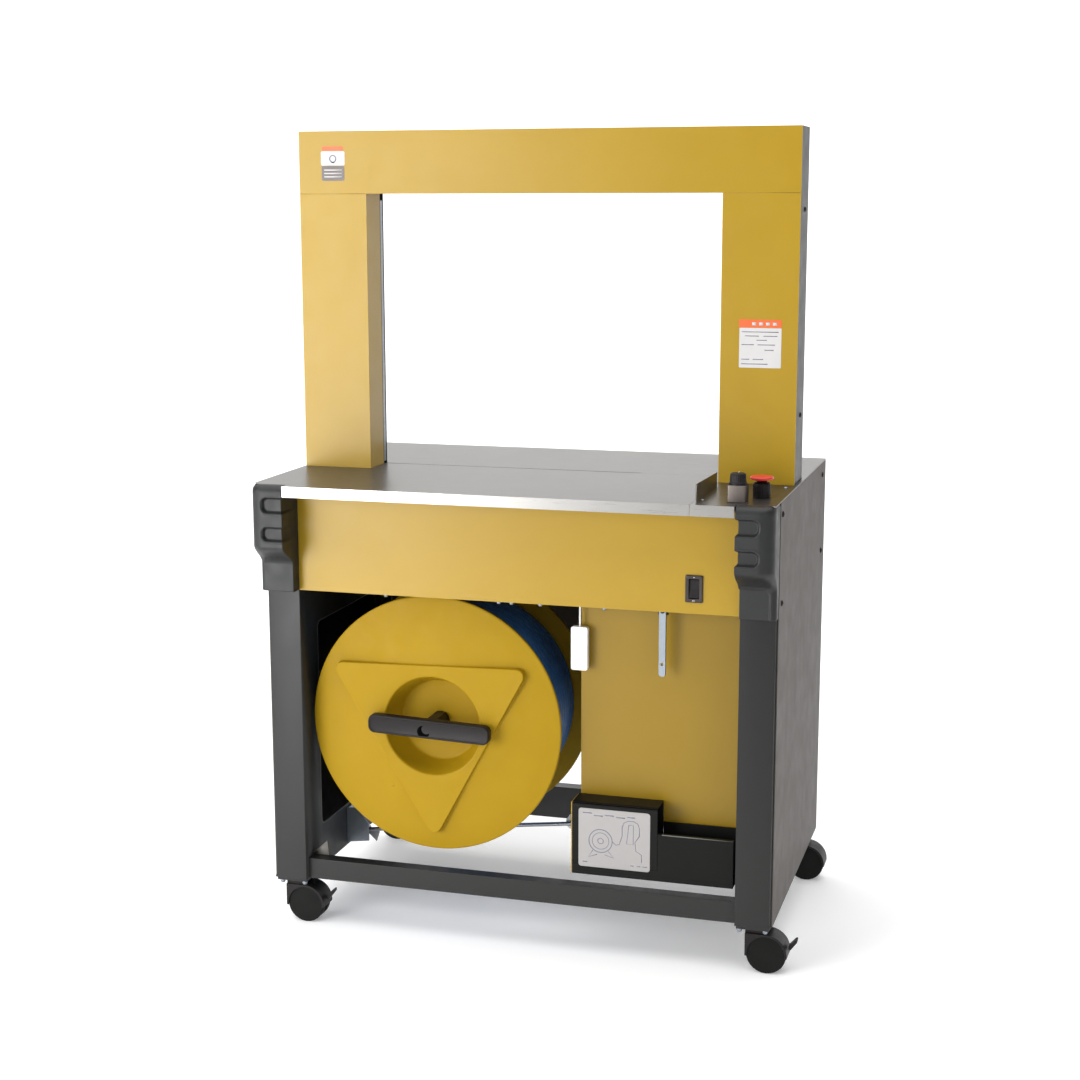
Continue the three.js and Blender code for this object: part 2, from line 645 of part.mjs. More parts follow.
// The arm's rod runs under the coil, and a roller on its end guides the strap.
function brakeArm() {
  const { x, y, z, reach, slope } = ARM;
  const bar = rod(4, 'z', 10, reach, 12).rotateY(Math.PI / 2);
  const hub = ring(4.3, 13, 'y', -8, 8, 20);
  const cam = extrude(shapeOf([[6, -2], [34, -2], [24, -24]]), 'y', -2, 2);
  const pin = rod(4, 'y', -2, 24, 12).translate(reach - 4, 0, 0);
  return join(bar, hub, cam, pin).rotateY(-slope).translate(x, y, z);
}

function brakeRoller() {
  const { x, y, z, reach, slope } = ARM;
  const along = reach - 4;
  const roller = ring(4.3, 14, 'y', 6, 22, 24);
  return roller.translate(x + along * Math.cos(slope), y, z + along * Math.sin(slope));
}

place('brake_bracket', 'zinc', brakeBracket());
place('brake_arm', 'steel', brakeArm());
place('brake_roller', 'white', brakeRoller());

// ---------------------------------------------------------------- controls
const SELECTOR = { x: 391.5, y: -250, size: 31, height: 28, radius: 15 };
const ESTOP = { x: 422.5, y: -200, base: 14.7, head: 20 };

function selectorBox() {
  const { x, y, size, height } = SELECTOR;
  const h = size / 2;
  const z0 = TABLE_TOP + GAP;
  const shell = extrude(roundedRect(x - h, x + h, y - h, y + h, 3), 'z', z0, TABLE_TOP + height, 2);
  return cut(shell, box(x - h + 2, x + h - 2, y - h + 2, y + h - 2, z0 - 1, TABLE_TOP + height - 2));
}

function selectorKnob() {
  const { x, y, height, radius } = SELECTOR;
  const z = TABLE_TOP + height + GAP;
  const knob = lathe([[0, z], [radius, z], [radius, z + 4], [radius - 1.5, z + 5],
    [radius - 2, z + 17], [radius - 4, z + 19], [0, z + 19]], 'z', 24);
  const pointer = box(-1.2, 1.2, 2, radius - 4, z + 18, z + 20);
  return join(knob, pointer).translate(x, y, 0);
}

function estopBase() {
  const { x, y, base } = ESTOP;
  const z = TABLE_TOP + GAP;
  const body = lathe([[9.3, z], [base, z], [base, z + 23], [base - 2, z + 25], [9.3, z + 25],
    [9.3, z]], 'z', 24);
  return body.translate(x, y, 0);
}

function estopButton() {
  const { x, y, head } = ESTOP;
  const z = TABLE_TOP + GAP;
  const button = lathe([[0, z + 6], [9, z + 6], [9, z + 28.9], [head - 3, z + 29.5], [head, z + 32],
    [head - 1, z + 34.5], [head - 7, z + 36.4], [0, z + 37]], 'z', 28);
  return button.translate(x, y, 0);
}

function switchBezel() {
  const { x, z, width, height } = SWITCH;
  const flange = box(x - width / 2, x + width / 2, STAND_FRONT - 3, STAND_FRONT - GAP,
    z - height / 2, z + height / 2);
  const shell = box(x - 11.5, x + 11.5, STAND_FRONT - 1, STAND_FRONT + 20, z - 19.5, z + 19.5);
  return cut(join(flange, shell), box(x - 9, x + 9, STAND_FRONT - 4, STAND_FRONT + 17, z - 17, z + 17));
}

// The rocker turns on a pin through its middle, and its lower end stands out.
function switchRocker() {
  const { x, z } = SWITCH;
  const y = STAND_FRONT;
  const profile = shapeOf([[y - 3, z - 15.5], [y + 6, z - 13], [y + 9, z], [y + 6, z + 13],
    [y + 0.2, z + 15.5], [y + 0.5, z]]);
  return extrude(profile, 'x', x - 8.6, x + 8.6);
}

place('selector_box', 'stainless', selectorBox());
place('selector_knob', 'black', selectorKnob());
place('estop_base', 'black', estopBase());
place('estop_button', 'red', estopButton());
place('switch_bezel', 'black', switchBezel());
place('switch_rocker', 'black', switchRocker());

// ---------------------------------------------------------------- casters
// A twin-wheel swivel caster, its axle along Y and trailing towards +X.
function casterHood() {
  const top = STAND_BOTTOM - CASTER_PAD - GAP;
  const head = extrude(roundedRect(TRAIL - HOOD_RADIUS, 18, 56, top, 2), 'y', -17, 17, 3);
  const outline = extrude(casterOutline(), 'y', -21, 21, 10);
  const wheels = [-1, 1].map((side) => {
    const [y0, y1] = side > 0 ? [4.5, 19.5] : [-19.5, -4.5];
    return rod(WHEEL_RADIUS + 1.3, 'y', y0, y1, 32).translate(TRAIL, 0, WHEEL_RADIUS);
  });
  const sides = [-1, 1].map((side) => {
    const [y0, y1] = side > 0 ? [19, 22] : [-22, -19];
    return rod(WHEEL_RADIUS - 2, 'y', y0, y1, 32).translate(TRAIL, 0, WHEEL_RADIUS);
  });
  const axle = rod(5.3, 'y', -22, 22, 16).translate(TRAIL, 0, WHEEL_RADIUS);
  return cut(join(outline, head), ...wheels, ...sides, axle);
}

// The hood's side outline: round over the wheels, upright on the swivel's side.
function casterOutline() {
  const shape = new THREE.Shape();
  const low = WHEEL_RADIUS - 6;
  shape.absarc(TRAIL, WHEEL_RADIUS, HOOD_RADIUS, -0.1, Math.PI / 2, false);
  shape.lineTo(TRAIL - HOOD_RADIUS, WHEEL_RADIUS + HOOD_RADIUS);
  shape.lineTo(TRAIL - HOOD_RADIUS, low + 2);
  shape.lineTo(TRAIL - 20, low);
  shape.lineTo(TRAIL + 10, low - 4);
  return shape;
}

function casterWheel() {
  const half = [[5, 5.5], [WHEEL_RADIUS - 2, 5.5], [WHEEL_RADIUS, 8], [WHEEL_RADIUS, 16],
    [WHEEL_RADIUS - 2, 18.5], [0, 18.5]];
  const mirrored = half.map(([r, y]) => [r, -y]).reverse();
  return lathe([...mirrored, ...half], 'y', 28);
}

function casterPedal() {
  const shape = shapeOf([[57.5, 45], [61, 43.5], [PEDAL_REACH, 58], [PEDAL_REACH, 63],
    [68, 62], [57.5, 50]]);
  return extrude(shape, 'y', -8, 8);
}

const casters = [
  ['front_left', -CASTER_X, STAND_FRONT + CASTER_INSET],
  ['front_right', CASTER_X, STAND_FRONT + CASTER_INSET],
  ['rear_left', -CASTER_X, BACK - CASTER_INSET],
  ['rear_right', CASTER_X, BACK - CASTER_INSET],
];
for (const [name, x, y] of casters) {
  const group = new THREE.Group();
  group.position.set(x, y, 0);
  machine.add(group);
  place(`${name}_caster_hood`, 'black', casterHood(), group);
  const wheel = place(`${name}_caster_wheel`, 'black', casterWheel(), group);
  wheel.position.set(TRAIL, 0, WHEEL_RADIUS);
  if (name.startsWith('front')) place(`${name}_brake_pedal`, 'black', casterPedal(), group);
}

// ---------------------------------------------------------------- sealing head
const HEAD = { x: -80, y: SEAM_Y, shaft: 690 };
const deckTop = DECK + 4 + GAP;

// The head block is a row of slots that the three presses slide in.
function headBlock() {
  const { x, y } = HEAD;
  const body = box(x - 75, x + 75, y - 30, y + 30, deckTop, 790);
  const slots = [-46, 0, 46].map((dx) => box(x + dx - 12, x + dx + 12, y - 12, y + 12, 720, 800));
  const heater = box(x - 8, x + 90, y - 29, y - 14, 745, 800);
  const shaft = rod(9, 'y', y - 60, y + 60, 24).translate(x, 0, HEAD.shaft);
  const cams = rod(27, 'y', y - 14, y + 14, 28).translate(x, 0, HEAD.shaft);
  return cut(body, ...slots, heater, shaft, cams);
}

function press(dx) {
  const { x, y } = HEAD;
  return box(x + dx - 11.5, x + dx + 11.5, y - 11.5, y + 11.5, 722, 818);
}

function camShaft() {
  const { x, y, shaft } = HEAD;
  const journal = rod(8.5, 'y', -44, 52, 20);
  const cam = rod(22, 'y', -12, 12, 24).translate(3, 0, 0);
  const handwheel = ring(6, 24, 'y', -52, -44.5, 28);
  const stub = rod(6.5, 'y', -52, -43, 20);
  return join(journal, cam, handwheel, stub).translate(x, y, shaft);
}

function heaterArm() {
  const { x, y } = HEAD;
  const arm = box(x - 6, x + 84, y - 26, y - 18, 800, 812);
  const leg = box(x + 76, x + 84, y - 26, y - 18, 760, 806);
  return cut(join(arm, leg), rod(2.2, 'y', y - 30, y - 10, 12).translate(x + 80, 0, 768));
}

// A gearmotor sits on the back of the head block and takes the cam shaft's end in
// its bore.
function driveMotor() {
  const { x, y } = HEAD;
  const [face, back] = [34, 190];
  const body = lathe([[9, face], [30, face], [38, face + 6], [38, face + 70], [33, face + 72],
    [33, back - 4], [29, back], [0, back], [0, face + 20], [9, face + 20], [9, face]], 'y', 32);
  const foot = box(-30, 30, face + 8, back - 30, -46 + GAP, -26);
  return join(body, foot).translate(x, y, HEAD.shaft);
}

place('head_block', 'steel', headBlock());
place('left_gripper', 'steel', press(-46));
place('seal_press', 'steel', press(0));
place('right_gripper', 'steel', press(46));
place('cam_shaft', 'steel', camShaft());
place('heater_arm', 'brass', heaterArm());
place('drive_motor', 'zinc', driveMotor());
place('feed_roller', 'steel', feedRoller());
place('pinch_roller', 'steel', pinchRoller());

export default machine;
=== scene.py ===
"""An arch strapping machine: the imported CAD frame, finished with materials and detail."""
import json
import math
import bmesh
import bpy
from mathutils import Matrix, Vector, noise


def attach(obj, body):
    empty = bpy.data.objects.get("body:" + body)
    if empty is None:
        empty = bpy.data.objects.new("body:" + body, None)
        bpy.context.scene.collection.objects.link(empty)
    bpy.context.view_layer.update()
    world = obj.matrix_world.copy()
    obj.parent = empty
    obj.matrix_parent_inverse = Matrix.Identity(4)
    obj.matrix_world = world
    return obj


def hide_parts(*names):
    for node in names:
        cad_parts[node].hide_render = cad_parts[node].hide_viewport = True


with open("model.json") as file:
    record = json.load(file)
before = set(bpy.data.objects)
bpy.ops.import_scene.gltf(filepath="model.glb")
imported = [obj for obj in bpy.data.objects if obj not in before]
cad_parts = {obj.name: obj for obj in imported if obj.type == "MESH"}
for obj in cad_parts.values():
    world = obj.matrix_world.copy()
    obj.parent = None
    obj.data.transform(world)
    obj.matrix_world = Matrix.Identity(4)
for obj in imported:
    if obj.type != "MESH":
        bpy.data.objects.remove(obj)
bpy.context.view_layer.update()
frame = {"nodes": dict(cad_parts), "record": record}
NODES = frame["nodes"]
MM = 0.001
SHIFT = -0.020                  # the stand is this far left of the origin, in metres

# The stand's faces, in millimetres from its middle and from the floor.
LEG_INNER, HALF = 397, 461      # the front legs' inner and outer sides
FRONT, BACK, TABLE = -307, 307, 830


def at(x, y, z):
    """A point in the frame's metres, from millimetres measured from the middle of the stand."""
    return Vector((x * MM + SHIFT, y * MM, z * MM))


def smooth(a, b, v):
    """Goes from 0 at a to 1 at b, and eases at both ends."""
    t = min(max((v - a) / (b - a), 0.0), 1.0)
    return t * t * (3 - 2 * t)


# ---------------------------------------------------------------- materials
COAT_ROUGHNESS = 0.25


def srgb(r, g, b):
    """A screen colour from 0 to 255, as the linear colour that a shader takes."""
    def lin(v):
        v /= 255
        return v / 12.92 if v <= 0.04045 else ((v + 0.055) / 1.055) ** 2.4
    return (lin(r), lin(g), lin(b), 1.0)


class Material:
    """Builds one node material round a Principled shader, in object coordinates."""

    def __init__(self, name, colour, roughness, metallic=0.0, coat=0.0, specular=0.5):
        self.material = bpy.data.materials.new(name)
        self.material.use_nodes = True
        self.tree = self.material.node_tree
        self.shader = self.tree.nodes["Principled BSDF"]
        self.colour = colour
        self.shader.inputs["Base Color"].default_value = colour
        self.shader.inputs["Roughness"].default_value = roughness
        self.shader.inputs["Metallic"].default_value = metallic
        self.shader.inputs["Coat Weight"].default_value = coat
        self.shader.inputs["Coat Roughness"].default_value = COAT_ROUGHNESS
        self.shader.inputs["Specular IOR Level"].default_value = specular
        self.coordinates = self.tree.nodes.new("ShaderNodeTexCoord")
        self.bump = None
        self.tint = None

    def noise(self, scale, detail=3.0, rough=0.5, stretch=None):
        node = self.tree.nodes.new("ShaderNodeTexNoise")
        node.inputs["Scale"].default_value = scale
        node.inputs["Detail"].default_value = detail
        node.inputs["Roughness"].default_value = rough
        source = self.coordinates.outputs["Object"]
        if stretch:
            mapping = self.tree.nodes.new("ShaderNodeMapping")
            mapping.inputs["Scale"].default_value = stretch
            self.tree.links.new(source, mapping.inputs["Vector"])
            source = mapping.outputs["Vector"]
        self.tree.links.new(source, node.inputs["Vector"])
        return node.outputs["Fac"]

    def span(self, value, low, high, to_low, to_high):
        """Maps low..high onto to_low..to_high, and holds the ends."""
        node = self.tree.nodes.new("ShaderNodeMapRange")
        for key, number in zip(("From Min", "From Max", "To Min", "To Max"),
                               (low, high, to_low, to_high)):
            node.inputs[key].default_value = number
        self.tree.links.new(value, node.inputs["Value"])
        return node.outputs["Result"]

    def vary(self, value, other, low=0.35, high=0.65, most=1.0):
        """Blends the base colour towards another where the value is high."""
        mix = self.tree.nodes.new("ShaderNodeMix")
        mix.data_type = "RGBA"
        if self.tint:
            self.tree.links.new(self.tint, mix.inputs["A"])
        else:
            mix.inputs["A"].default_value = self.colour
        mix.inputs["B"].default_value = other
        self.tree.links.new(self.span(value, low, high, 0.0, most), mix.inputs["Factor"])
        self.tint = mix.outputs["Result"]
        self.tree.links.new(self.tint, self.shader.inputs["Base Color"])
        return self

    def rough(self, value, low, high):
        """Spreads the roughness over low..high. Noise stays mostly between 0.3 and 0.7."""
        self.tree.links.new(self.span(value, 0.3, 0.7, low, high), self.shader.inputs["Roughness"])
        return self

    def relief(self, value, height):
        """Adds bumps of a height in metres, on top of any that are there already."""
        node = self.tree.nodes.new("ShaderNodeBump")
        node.inputs["Strength"].default_value = 1.0
        node.inputs["Distance"].default_value = height
        self.tree.links.new(value, node.inputs["Height"])
        if self.bump:
            self.tree.links.new(self.bump.outputs["Normal"], node.inputs["Normal"])
        self.tree.links.new(node.outputs["Normal"], self.shader.inputs["Normal"])
        self.bump = node
        return self

    def worn_edges(self, colour, radius=0.0012, most=0.6):
        """A lighter line along the edges, where the rounded normal leaves the face's own."""
        bevel = self.tree.nodes.new("ShaderNodeBevel")
        bevel.inputs["Radius"].default_value = radius
        geometry = self.tree.nodes.new("ShaderNodeNewGeometry")
        dot = self.tree.nodes.new("ShaderNodeVectorMath")
        dot.operation = "DOT_PRODUCT"
        self.tree.links.new(bevel.outputs["Normal"], dot.inputs[0])
        self.tree.links.new(geometry.outputs["Normal"], dot.inputs[1])
        edge = self.span(dot.outputs["Value"], 0.98, 0.75, 0.0, 1.0)
        broken = self.tree.nodes.new("ShaderNodeMath")
        broken.operation = "MULTIPLY"
        self.tree.links.new(edge, broken.inputs[0])
        self.tree.links.new(self.noise(60, 4), broken.inputs[1])
        return self.vary(broken.outputs["Value"], colour, 0.1, 0.6, most)


def powder_coat(name, colour, light, dark, roughness, coat=0.15, specular=0.5, wear=None):
    """Paint with broad and small patches and a fine orange peel."""
    m = Material(name, colour, roughness, coat=coat, specular=specular)
    m.vary(m.noise(3.2, 4), light, 0.4, 0.7, 0.5)
    m.vary(m.noise(11, 6, 0.6), dark, 0.5, 0.8, 0.3)
    m.rough(m.noise(26, 5), roughness - 0.04, roughness + 0.05)
    m.relief(m.noise(900, 2), 0.00008)
    if wear:
        m.worn_edges(wear)
    return m.material


def moulded(name, colour, light, roughness, grain=1500, height=0.0001, coat=0.0, specular=0.5):
    """Moulded plastic with a fine even grain. Paper and ink use it too."""
    m = Material(name, colour, roughness, coat=coat, specular=specular)
    m.vary(m.noise(14, 5, 0.6), light, 0.45, 0.75, 0.5)
    m.rough(m.noise(40, 4), roughness - 0.06, roughness + 0.08)
    m.relief(m.noise(grain, 3), height)
    return m.material


def metal(name, colour, dark, low, high, stretch, grain=260, edge=0.9):
    """Bare metal. Its fine grinding lines run along the axis with the smallest stretch."""
    m = Material(name, colour, low, metallic=1.0)
    m.shader.inputs["Specular Tint"].default_value = (edge, edge, edge, 1.0)
    m.vary(m.noise(4, 3), dark, 0.4, 0.75, 0.2)
    lines = m.noise(grain, 4, 0.6, stretch)
    m.vary(lines, dark, 0.4, 0.8, 0.22)
    m.rough(lines, low, high)
    return m.material


# The colours and gloss were matched to the photo under the lights below.
YELLOW = powder_coat("yellow_paint", srgb(163, 131, 24), srgb(169, 137, 29), srgb(156, 124, 20),
                     0.36, coat=0.22, specular=0.3, wear=srgb(206, 174, 84))
# A darker copy of the yellow paint for the pool cover: its extra darkness is painted shade from the
# front panel above it.
SHADED_POOL_YELLOW = powder_coat("pool_paint_shaded", srgb(143, 114, 20), srgb(149, 120, 24),
                          srgb(136, 108, 17), 0.36, specular=0.3, wear=srgb(190, 158, 74))
DARK = powder_coat("dark_paint", srgb(30, 31, 30), srgb(36, 36, 35), srgb(25, 25, 25), 0.4,
                   coat=0.0, specular=0.36, wear=srgb(74, 74, 72))
GREY = powder_coat("grey_paint", srgb(85, 79, 75), srgb(88, 82, 78), srgb(81, 75, 71), 0.5,
                   coat=0.0, specular=0.15)
# Black paint for the trough and its box, made darker than the other black paint; the extra darkness
# is painted shade under the table.
SHADED_TROUGH = powder_coat("trough_paint_shaded", srgb(17, 17, 16), srgb(22, 22, 21), srgb(13, 13, 12), 0.42,
                     coat=0.0, specular=0.14)
BLACK_PAINT = powder_coat("black_paint", srgb(30, 29, 29), srgb(38, 37, 37), srgb(24, 24, 24), 0.5)
STAINLESS = metal("stainless_steel", srgb(172, 170, 167), srgb(146, 145, 143), 0.26, 0.34,
                  (0.02, 1.0, 1.0), 900, edge=0.5)
# A darker copy of the steel for the selector's box: its darkness is a painted reflection of the
# dark surroundings.
DARKENED_BOX_STEEL = metal("selector_box_painted_reflection", srgb(118, 110, 105), srgb(98, 91, 87), 0.4, 0.5,
                  (1.0, 1.0, 0.05), 500, edge=0.4)
STEEL = metal("machined_steel", srgb(160, 162, 164), srgb(120, 121, 124), 0.25, 0.42,
              (1.0, 0.06, 1.0), 500)
ZINC = metal("zinc_plate", srgb(150, 158, 166), srgb(120, 130, 142), 0.36, 0.5, (1, 1, 1), 120)
BRASS = metal("brass_alloy", srgb(186, 150, 82), srgb(150, 116, 60), 0.25, 0.42, (0.05, 1, 1),
              500)
BLACK = moulded("black_plastic", srgb(24, 20, 20), srgb(31, 27, 27), 0.42, specular=0.25)
WHEEL = moulded("wheel_plastic", srgb(16, 16, 15), srgb(23, 22, 21), 0.6, 700, 0.0002,
                specular=0.15)
BUMPER = moulded("bumper_plastic", srgb(29, 30, 30), srgb(34, 35, 35), 0.46, 1100, specular=0.42)
REEL = moulded("reel_plastic", srgb(157, 125, 9), srgb(163, 131, 12), 0.55, 800, 0.00005,
               specular=0.18)
RED = moulded("red_plastic", srgb(206, 44, 28), srgb(214, 58, 40), 0.34, 1500, 0.00004, coat=0.3)
# Near-black for the sheets and marks that are painted shade.
SHADE_BLACK = moulded("painted_shade_black", srgb(6, 6, 6), srgb(9, 9, 9), 0.8, specular=0.02)
# A light grey for the gusset's front; its lightness is a painted highlight.
GUSSET_HIGHLIGHT = moulded("gusset_painted_highlight", srgb(122, 119, 114), srgb(132, 129, 124), 0.5)
SWITCH_BLACK = moulded("switch_plastic", srgb(40, 30, 28), srgb(52, 40, 36), 0.4)
SEAM = moulded("seam_line", srgb(150, 118, 24), srgb(142, 110, 22), 0.6)
# A light grey whose lightness is a painted highlight along the lips it is put on.
LIP_HIGHLIGHT = moulded("painted_lip_highlight", srgb(96, 97, 90), srgb(112, 113, 106), 0.5)
WHITE = moulded("white_plastic", srgb(232, 232, 230), srgb(222, 222, 218), 0.42)


def strap_material():
    """Blue strap with an embossed surface."""
    m = Material("strap_plastic", srgb(70, 134, 206), 0.42)
    m.vary(m.noise(30, 5), srgb(88, 152, 222), 0.4, 0.7, 0.5)
    cells = m.tree.nodes.new("ShaderNodeTexVoronoi")
    cells.inputs["Scale"].default_value = 420
    m.tree.links.new(m.coordinates.outputs["Object"], cells.inputs["Vector"])
    m.relief(cells.outputs["Distance"], 0.0003)
    m.rough(m.noise(90, 3), 0.32, 0.48)
    return m.material


STRAP = strap_material()

FINISH = {
    "yellow_paint": YELLOW, "dark_paint": DARK, "grey_paint": GREY, "black_paint": BLACK_PAINT,
    "stainless_steel": STAINLESS, "machined_steel": STEEL, "zinc_plate": ZINC, "brass_alloy": BRASS,
    "black_plastic": BLACK, "wheel_plastic": WHEEL, "bumper_plastic": BUMPER,
    "reel_plastic": REEL, "strap_plastic": STRAP, "red_plastic": RED, "white_plastic": WHITE,
}
SLOT_OF = {s["node"]: s["material_slot"] for s in frame["record"]["subparts"]}


def soften(obj, width, angle=35, weld=False):
    """Rounds the edges sharper than an angle a little, and shades the rest smooth."""
    for name in ("custom_normal", "sharp_face", "sharp_edge"):
        attribute = obj.data.attributes.get(name)
        if attribute:
            obj.data.attributes.remove(attribute)
    obj.data.polygons.foreach_set("use_smooth", [True] * len(obj.data.polygons))
    if weld:
        joined = obj.modifiers.new("weld", "WELD")
        joined.merge_threshold = 2e-6
    bevel = obj.modifiers.new("edges", "BEVEL")
    bevel.width = width
    bevel.segments = 2
    bevel.limit_method = "ANGLE"
    bevel.angle_limit = math.radians(angle)
    bevel.use_clamp_overlap = False
    bevel.harden_normals = True


# These sheets have lips and guards let into them, so their edges are left sharp.
PLAIN = ("control_panel", "front_table", "rear_table")
# The recessed pool cover is in a darker yellow that is painted shade from the panel above it. The
# low trough and its box are in black paint made darker still by painted shade, and the selector's
# box is in a darker steel that paints the dark surroundings it reflects.
OWN_FINISH = {"lower_trough": SHADED_TROUGH, "label_box": SHADED_TROUGH, "pool_cover": SHADED_POOL_YELLOW,
              "selector_box": DARKENED_BOX_STEEL}

for node, obj in NODES.items():
    obj.data.materials.clear()
    obj.data.materials.append(OWN_FINISH.get(node, FINISH[SLOT_OF[node]]))
    if node in PLAIN:
        obj.data.polygons.foreach_set("use_smooth", [False] * len(obj.data.polygons))
    else:
        soften(obj, 0.0005, weld=True)


# ---------------------------------------------------------------- camera, floor and light
# The camera was fitted to the photo's edges.
camera = bpy.data.objects.new("camera", bpy.data.cameras.new("camera"))
bpy.context.scene.collection.objects.link(camera)
camera.location = (0.904, -3.2276, 1.3144)
camera.rotation_euler = (math.radians(90 - 10.34), math.radians(0.08), math.radians(16.29))
camera.data.lens = 61.81
camera.data.sensor_width = 36
bpy.context.scene.camera = camera


def backdrop():
    """A pale floor that curves up into a wall well behind the machine."""
    near, flat_end, bend, top, half_width = -9.0, 4.0, 3.0, 9.0, 12.0
    profile = [(near, 0.0), (flat_end, 0.0)]
    profile += [(flat_end + bend * math.sin(a), bend - bend * math.cos(a))
                for a in (math.radians(d) for d in range(6, 91, 6))]
    profile += [(flat_end + bend, top)]
    vertices = [(x, y, z) for y, z in profile for x in (-half_width, half_width)]
    faces = [(2 * i, 2 * i + 1, 2 * i + 3, 2 * i + 2) for i in range(len(profile) - 1)]
    mesh = bpy.data.meshes.new("floor")
    mesh.from_pydata(vertices, [], faces)
    mesh.polygons.foreach_set("use_smooth", [True] * len(faces))
    floor = bpy.data.objects.new("floor", mesh)
    bpy.context.scene.collection.objects.link(floor)
    m = Material("floor_paper", srgb(244, 244, 244), 0.9, specular=0.2)
    m.vary(m.noise(0.7, 2), srgb(240, 240, 241), 0.3, 0.7, 0.5)
    m.shader.inputs["Emission Color"].default_value = (1, 1, 1, 1)
    m.shader.inputs["Emission Strength"].default_value = 0.22
    mesh.materials.append(m.material)


backdrop()


def area_light(name, location, target, size, power):
    """A soft rectangular lamp that points at a target, in metres and watts."""
    data = bpy.data.lights.new(name, "AREA")
    data.shape = "RECTANGLE"
    data.size, data.size_y = size
    data.energy = power
    lamp = bpy.data.objects.new(name, data)
    bpy.context.scene.collection.objects.link(lamp)
    lamp.location = location
    direction = Vector(target) - Vector(location)
    lamp.rotation_euler = direction.to_track_quat("-Z", "Y").to_euler()


area_light("key", (-1.85, -3.2, 1.15), (-0.2, 0, 0.8), (1.5, 1.7), 66)
area_light("side", (-3.2, -1.7, 1.4), (-0.2, 0, 0.7), (1.6, 2.2), 34)
area_light("low", (-1.25, -1.9, 0.35), (-0.3, -0.2, 0.35), (1.0, 0.7), 10)
area_light("fill", (2.6, -2.7, 1.5), (-0.1, 0, 0.5), (1.6, 1.6), 12)
area_light("top", (-0.4, -0.4, 4.2), (-0.4, -0.2, 0.0), (6.0, 5.0), 215)
area_light("sweep", (-2.4, 3.0, 4.6), (-2.4, 6.8, 1.2), (5.5, 2.0), 240)

world = bpy.data.worlds.new("studio")
world.use_nodes = True
world.node_tree.nodes["Background"].inputs["Color"].default_value = (1, 1, 1, 1)
world.node_tree.nodes["Background"].inputs["Strength"].default_value = 0.24
bpy.context.scene.world = world
bpy.context.scene.view_settings.view_transform = "Standard"


# ---------------------------------------------------------------- mesh helpers
def piece(name, vertices, faces, material, body, slot, edge=0.0005, angle=35):
    """Makes a mesh piece that rides on a CAD body, in the material it is given."""
    mesh = bpy.data.meshes.new(name)
    mesh.from_pydata([tuple(v) for v in vertices], [], faces)
    shape = bmesh.new()
    shape.from_mesh(mesh)
    bmesh.ops.remove_doubles(shape, verts=shape.verts, dist=1e-7)
    bmesh.ops.recalc_face_normals(shape, faces=shape.faces)
    shape.to_mesh(mesh)
    shape.free()
    obj = bpy.data.objects.new(name, mesh)
    bpy.context.scene.collection.objects.link(obj)
    mesh.materials.append(material)
    mesh.polygons.foreach_set("use_smooth", [True] * len(mesh.polygons))
    if edge:
        soften(obj, edge, angle)
    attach(obj, body)
    return obj


def loft(rings, start=False, end=False):
    """Vertices and faces of a skin over closed rings of points, capped at its start and end."""
    count = len(rings[0])
    vertices = [p for ring in rings for p in ring]
    faces = []
    for i in range(len(rings) - 1):
        for j in range(count):
            k = (j + 1) % count
            faces.append((i * count + j, i * count + k, (i + 1) * count + k, (i + 1) * count + j))
    if start:
        faces.append(tuple(range(count - 1, -1, -1)))
    if end:
        faces.append(tuple(range((len(rings) - 1) * count, len(rings) * count)))
    return vertices, faces


def merge(*parts):
    """Joins several (vertices, faces) pairs into one."""
    vertices, faces = [], []
    for v, f in parts:
        offset = len(vertices)
        vertices += list(v)
        faces += [tuple(i + offset for i in face) for face in f]
    return vertices, faces


def along(axis, centre, radius, height, angle):
    """A point on a circle about a line through the centre."""
    a, b = radius * math.cos(angle), radius * math.sin(angle)
    offset = {"x": (height, a, b), "y": (a, height, b), "z": (a, b, height)}[axis]
    return centre + Vector(offset) * MM


def lathe(profile, axis, centre, segments=48, radius_at=None):
    """Turns [radius, height] points, in millimetres, about an axis. Ends on the axis close."""
    rings = []
    for k, (radius, height) in enumerate(profile):
        ring = []
        for j in range(segments):
            angle = 2 * math.pi * j / segments
            r = radius_at(k, radius, angle) if radius_at else radius
            ring.append(along(axis, centre, r, height, angle))
        rings.append(ring)
    return loft(rings)


def rounded(u0, u1, v0, v1, r, steps=6):
    """The outline of a rounded rectangle, anticlockwise."""
    points = []
    for cu, cv, start in ((u1 - r, v0 + r, -90), (u1 - r, v1 - r, 0),
                          (u0 + r, v1 - r, 90), (u0 + r, v0 + r, 180)):
        for i in range(steps + 1):
            a = math.radians(start + 90 * i / steps)
            points.append((cu + r * math.cos(a), cv + r * math.sin(a)))
    return points


def plane_point(axis, u, v, w):
    """The point at u, v in the plane across an axis, and w along that axis."""
    return {"x": at(w, u, v), "y": at(u, w, v), "z": at(u, v, w)}[axis]


def slab(outline, axis, w0, w1):
    """An outline in the plane across an axis, given thickness along it."""
    return loft([[plane_point(axis, u, v, w) for u, v in outline] for w in (w0, w1)],
                start=True, end=True)


def bar(u0, u1, v0, v1, axis, w0, w1):
    """A slab with a rectangular outline."""
    return slab([(u0, v0), (u1, v0), (u1, v1), (u0, v1)], axis, w0, w1)


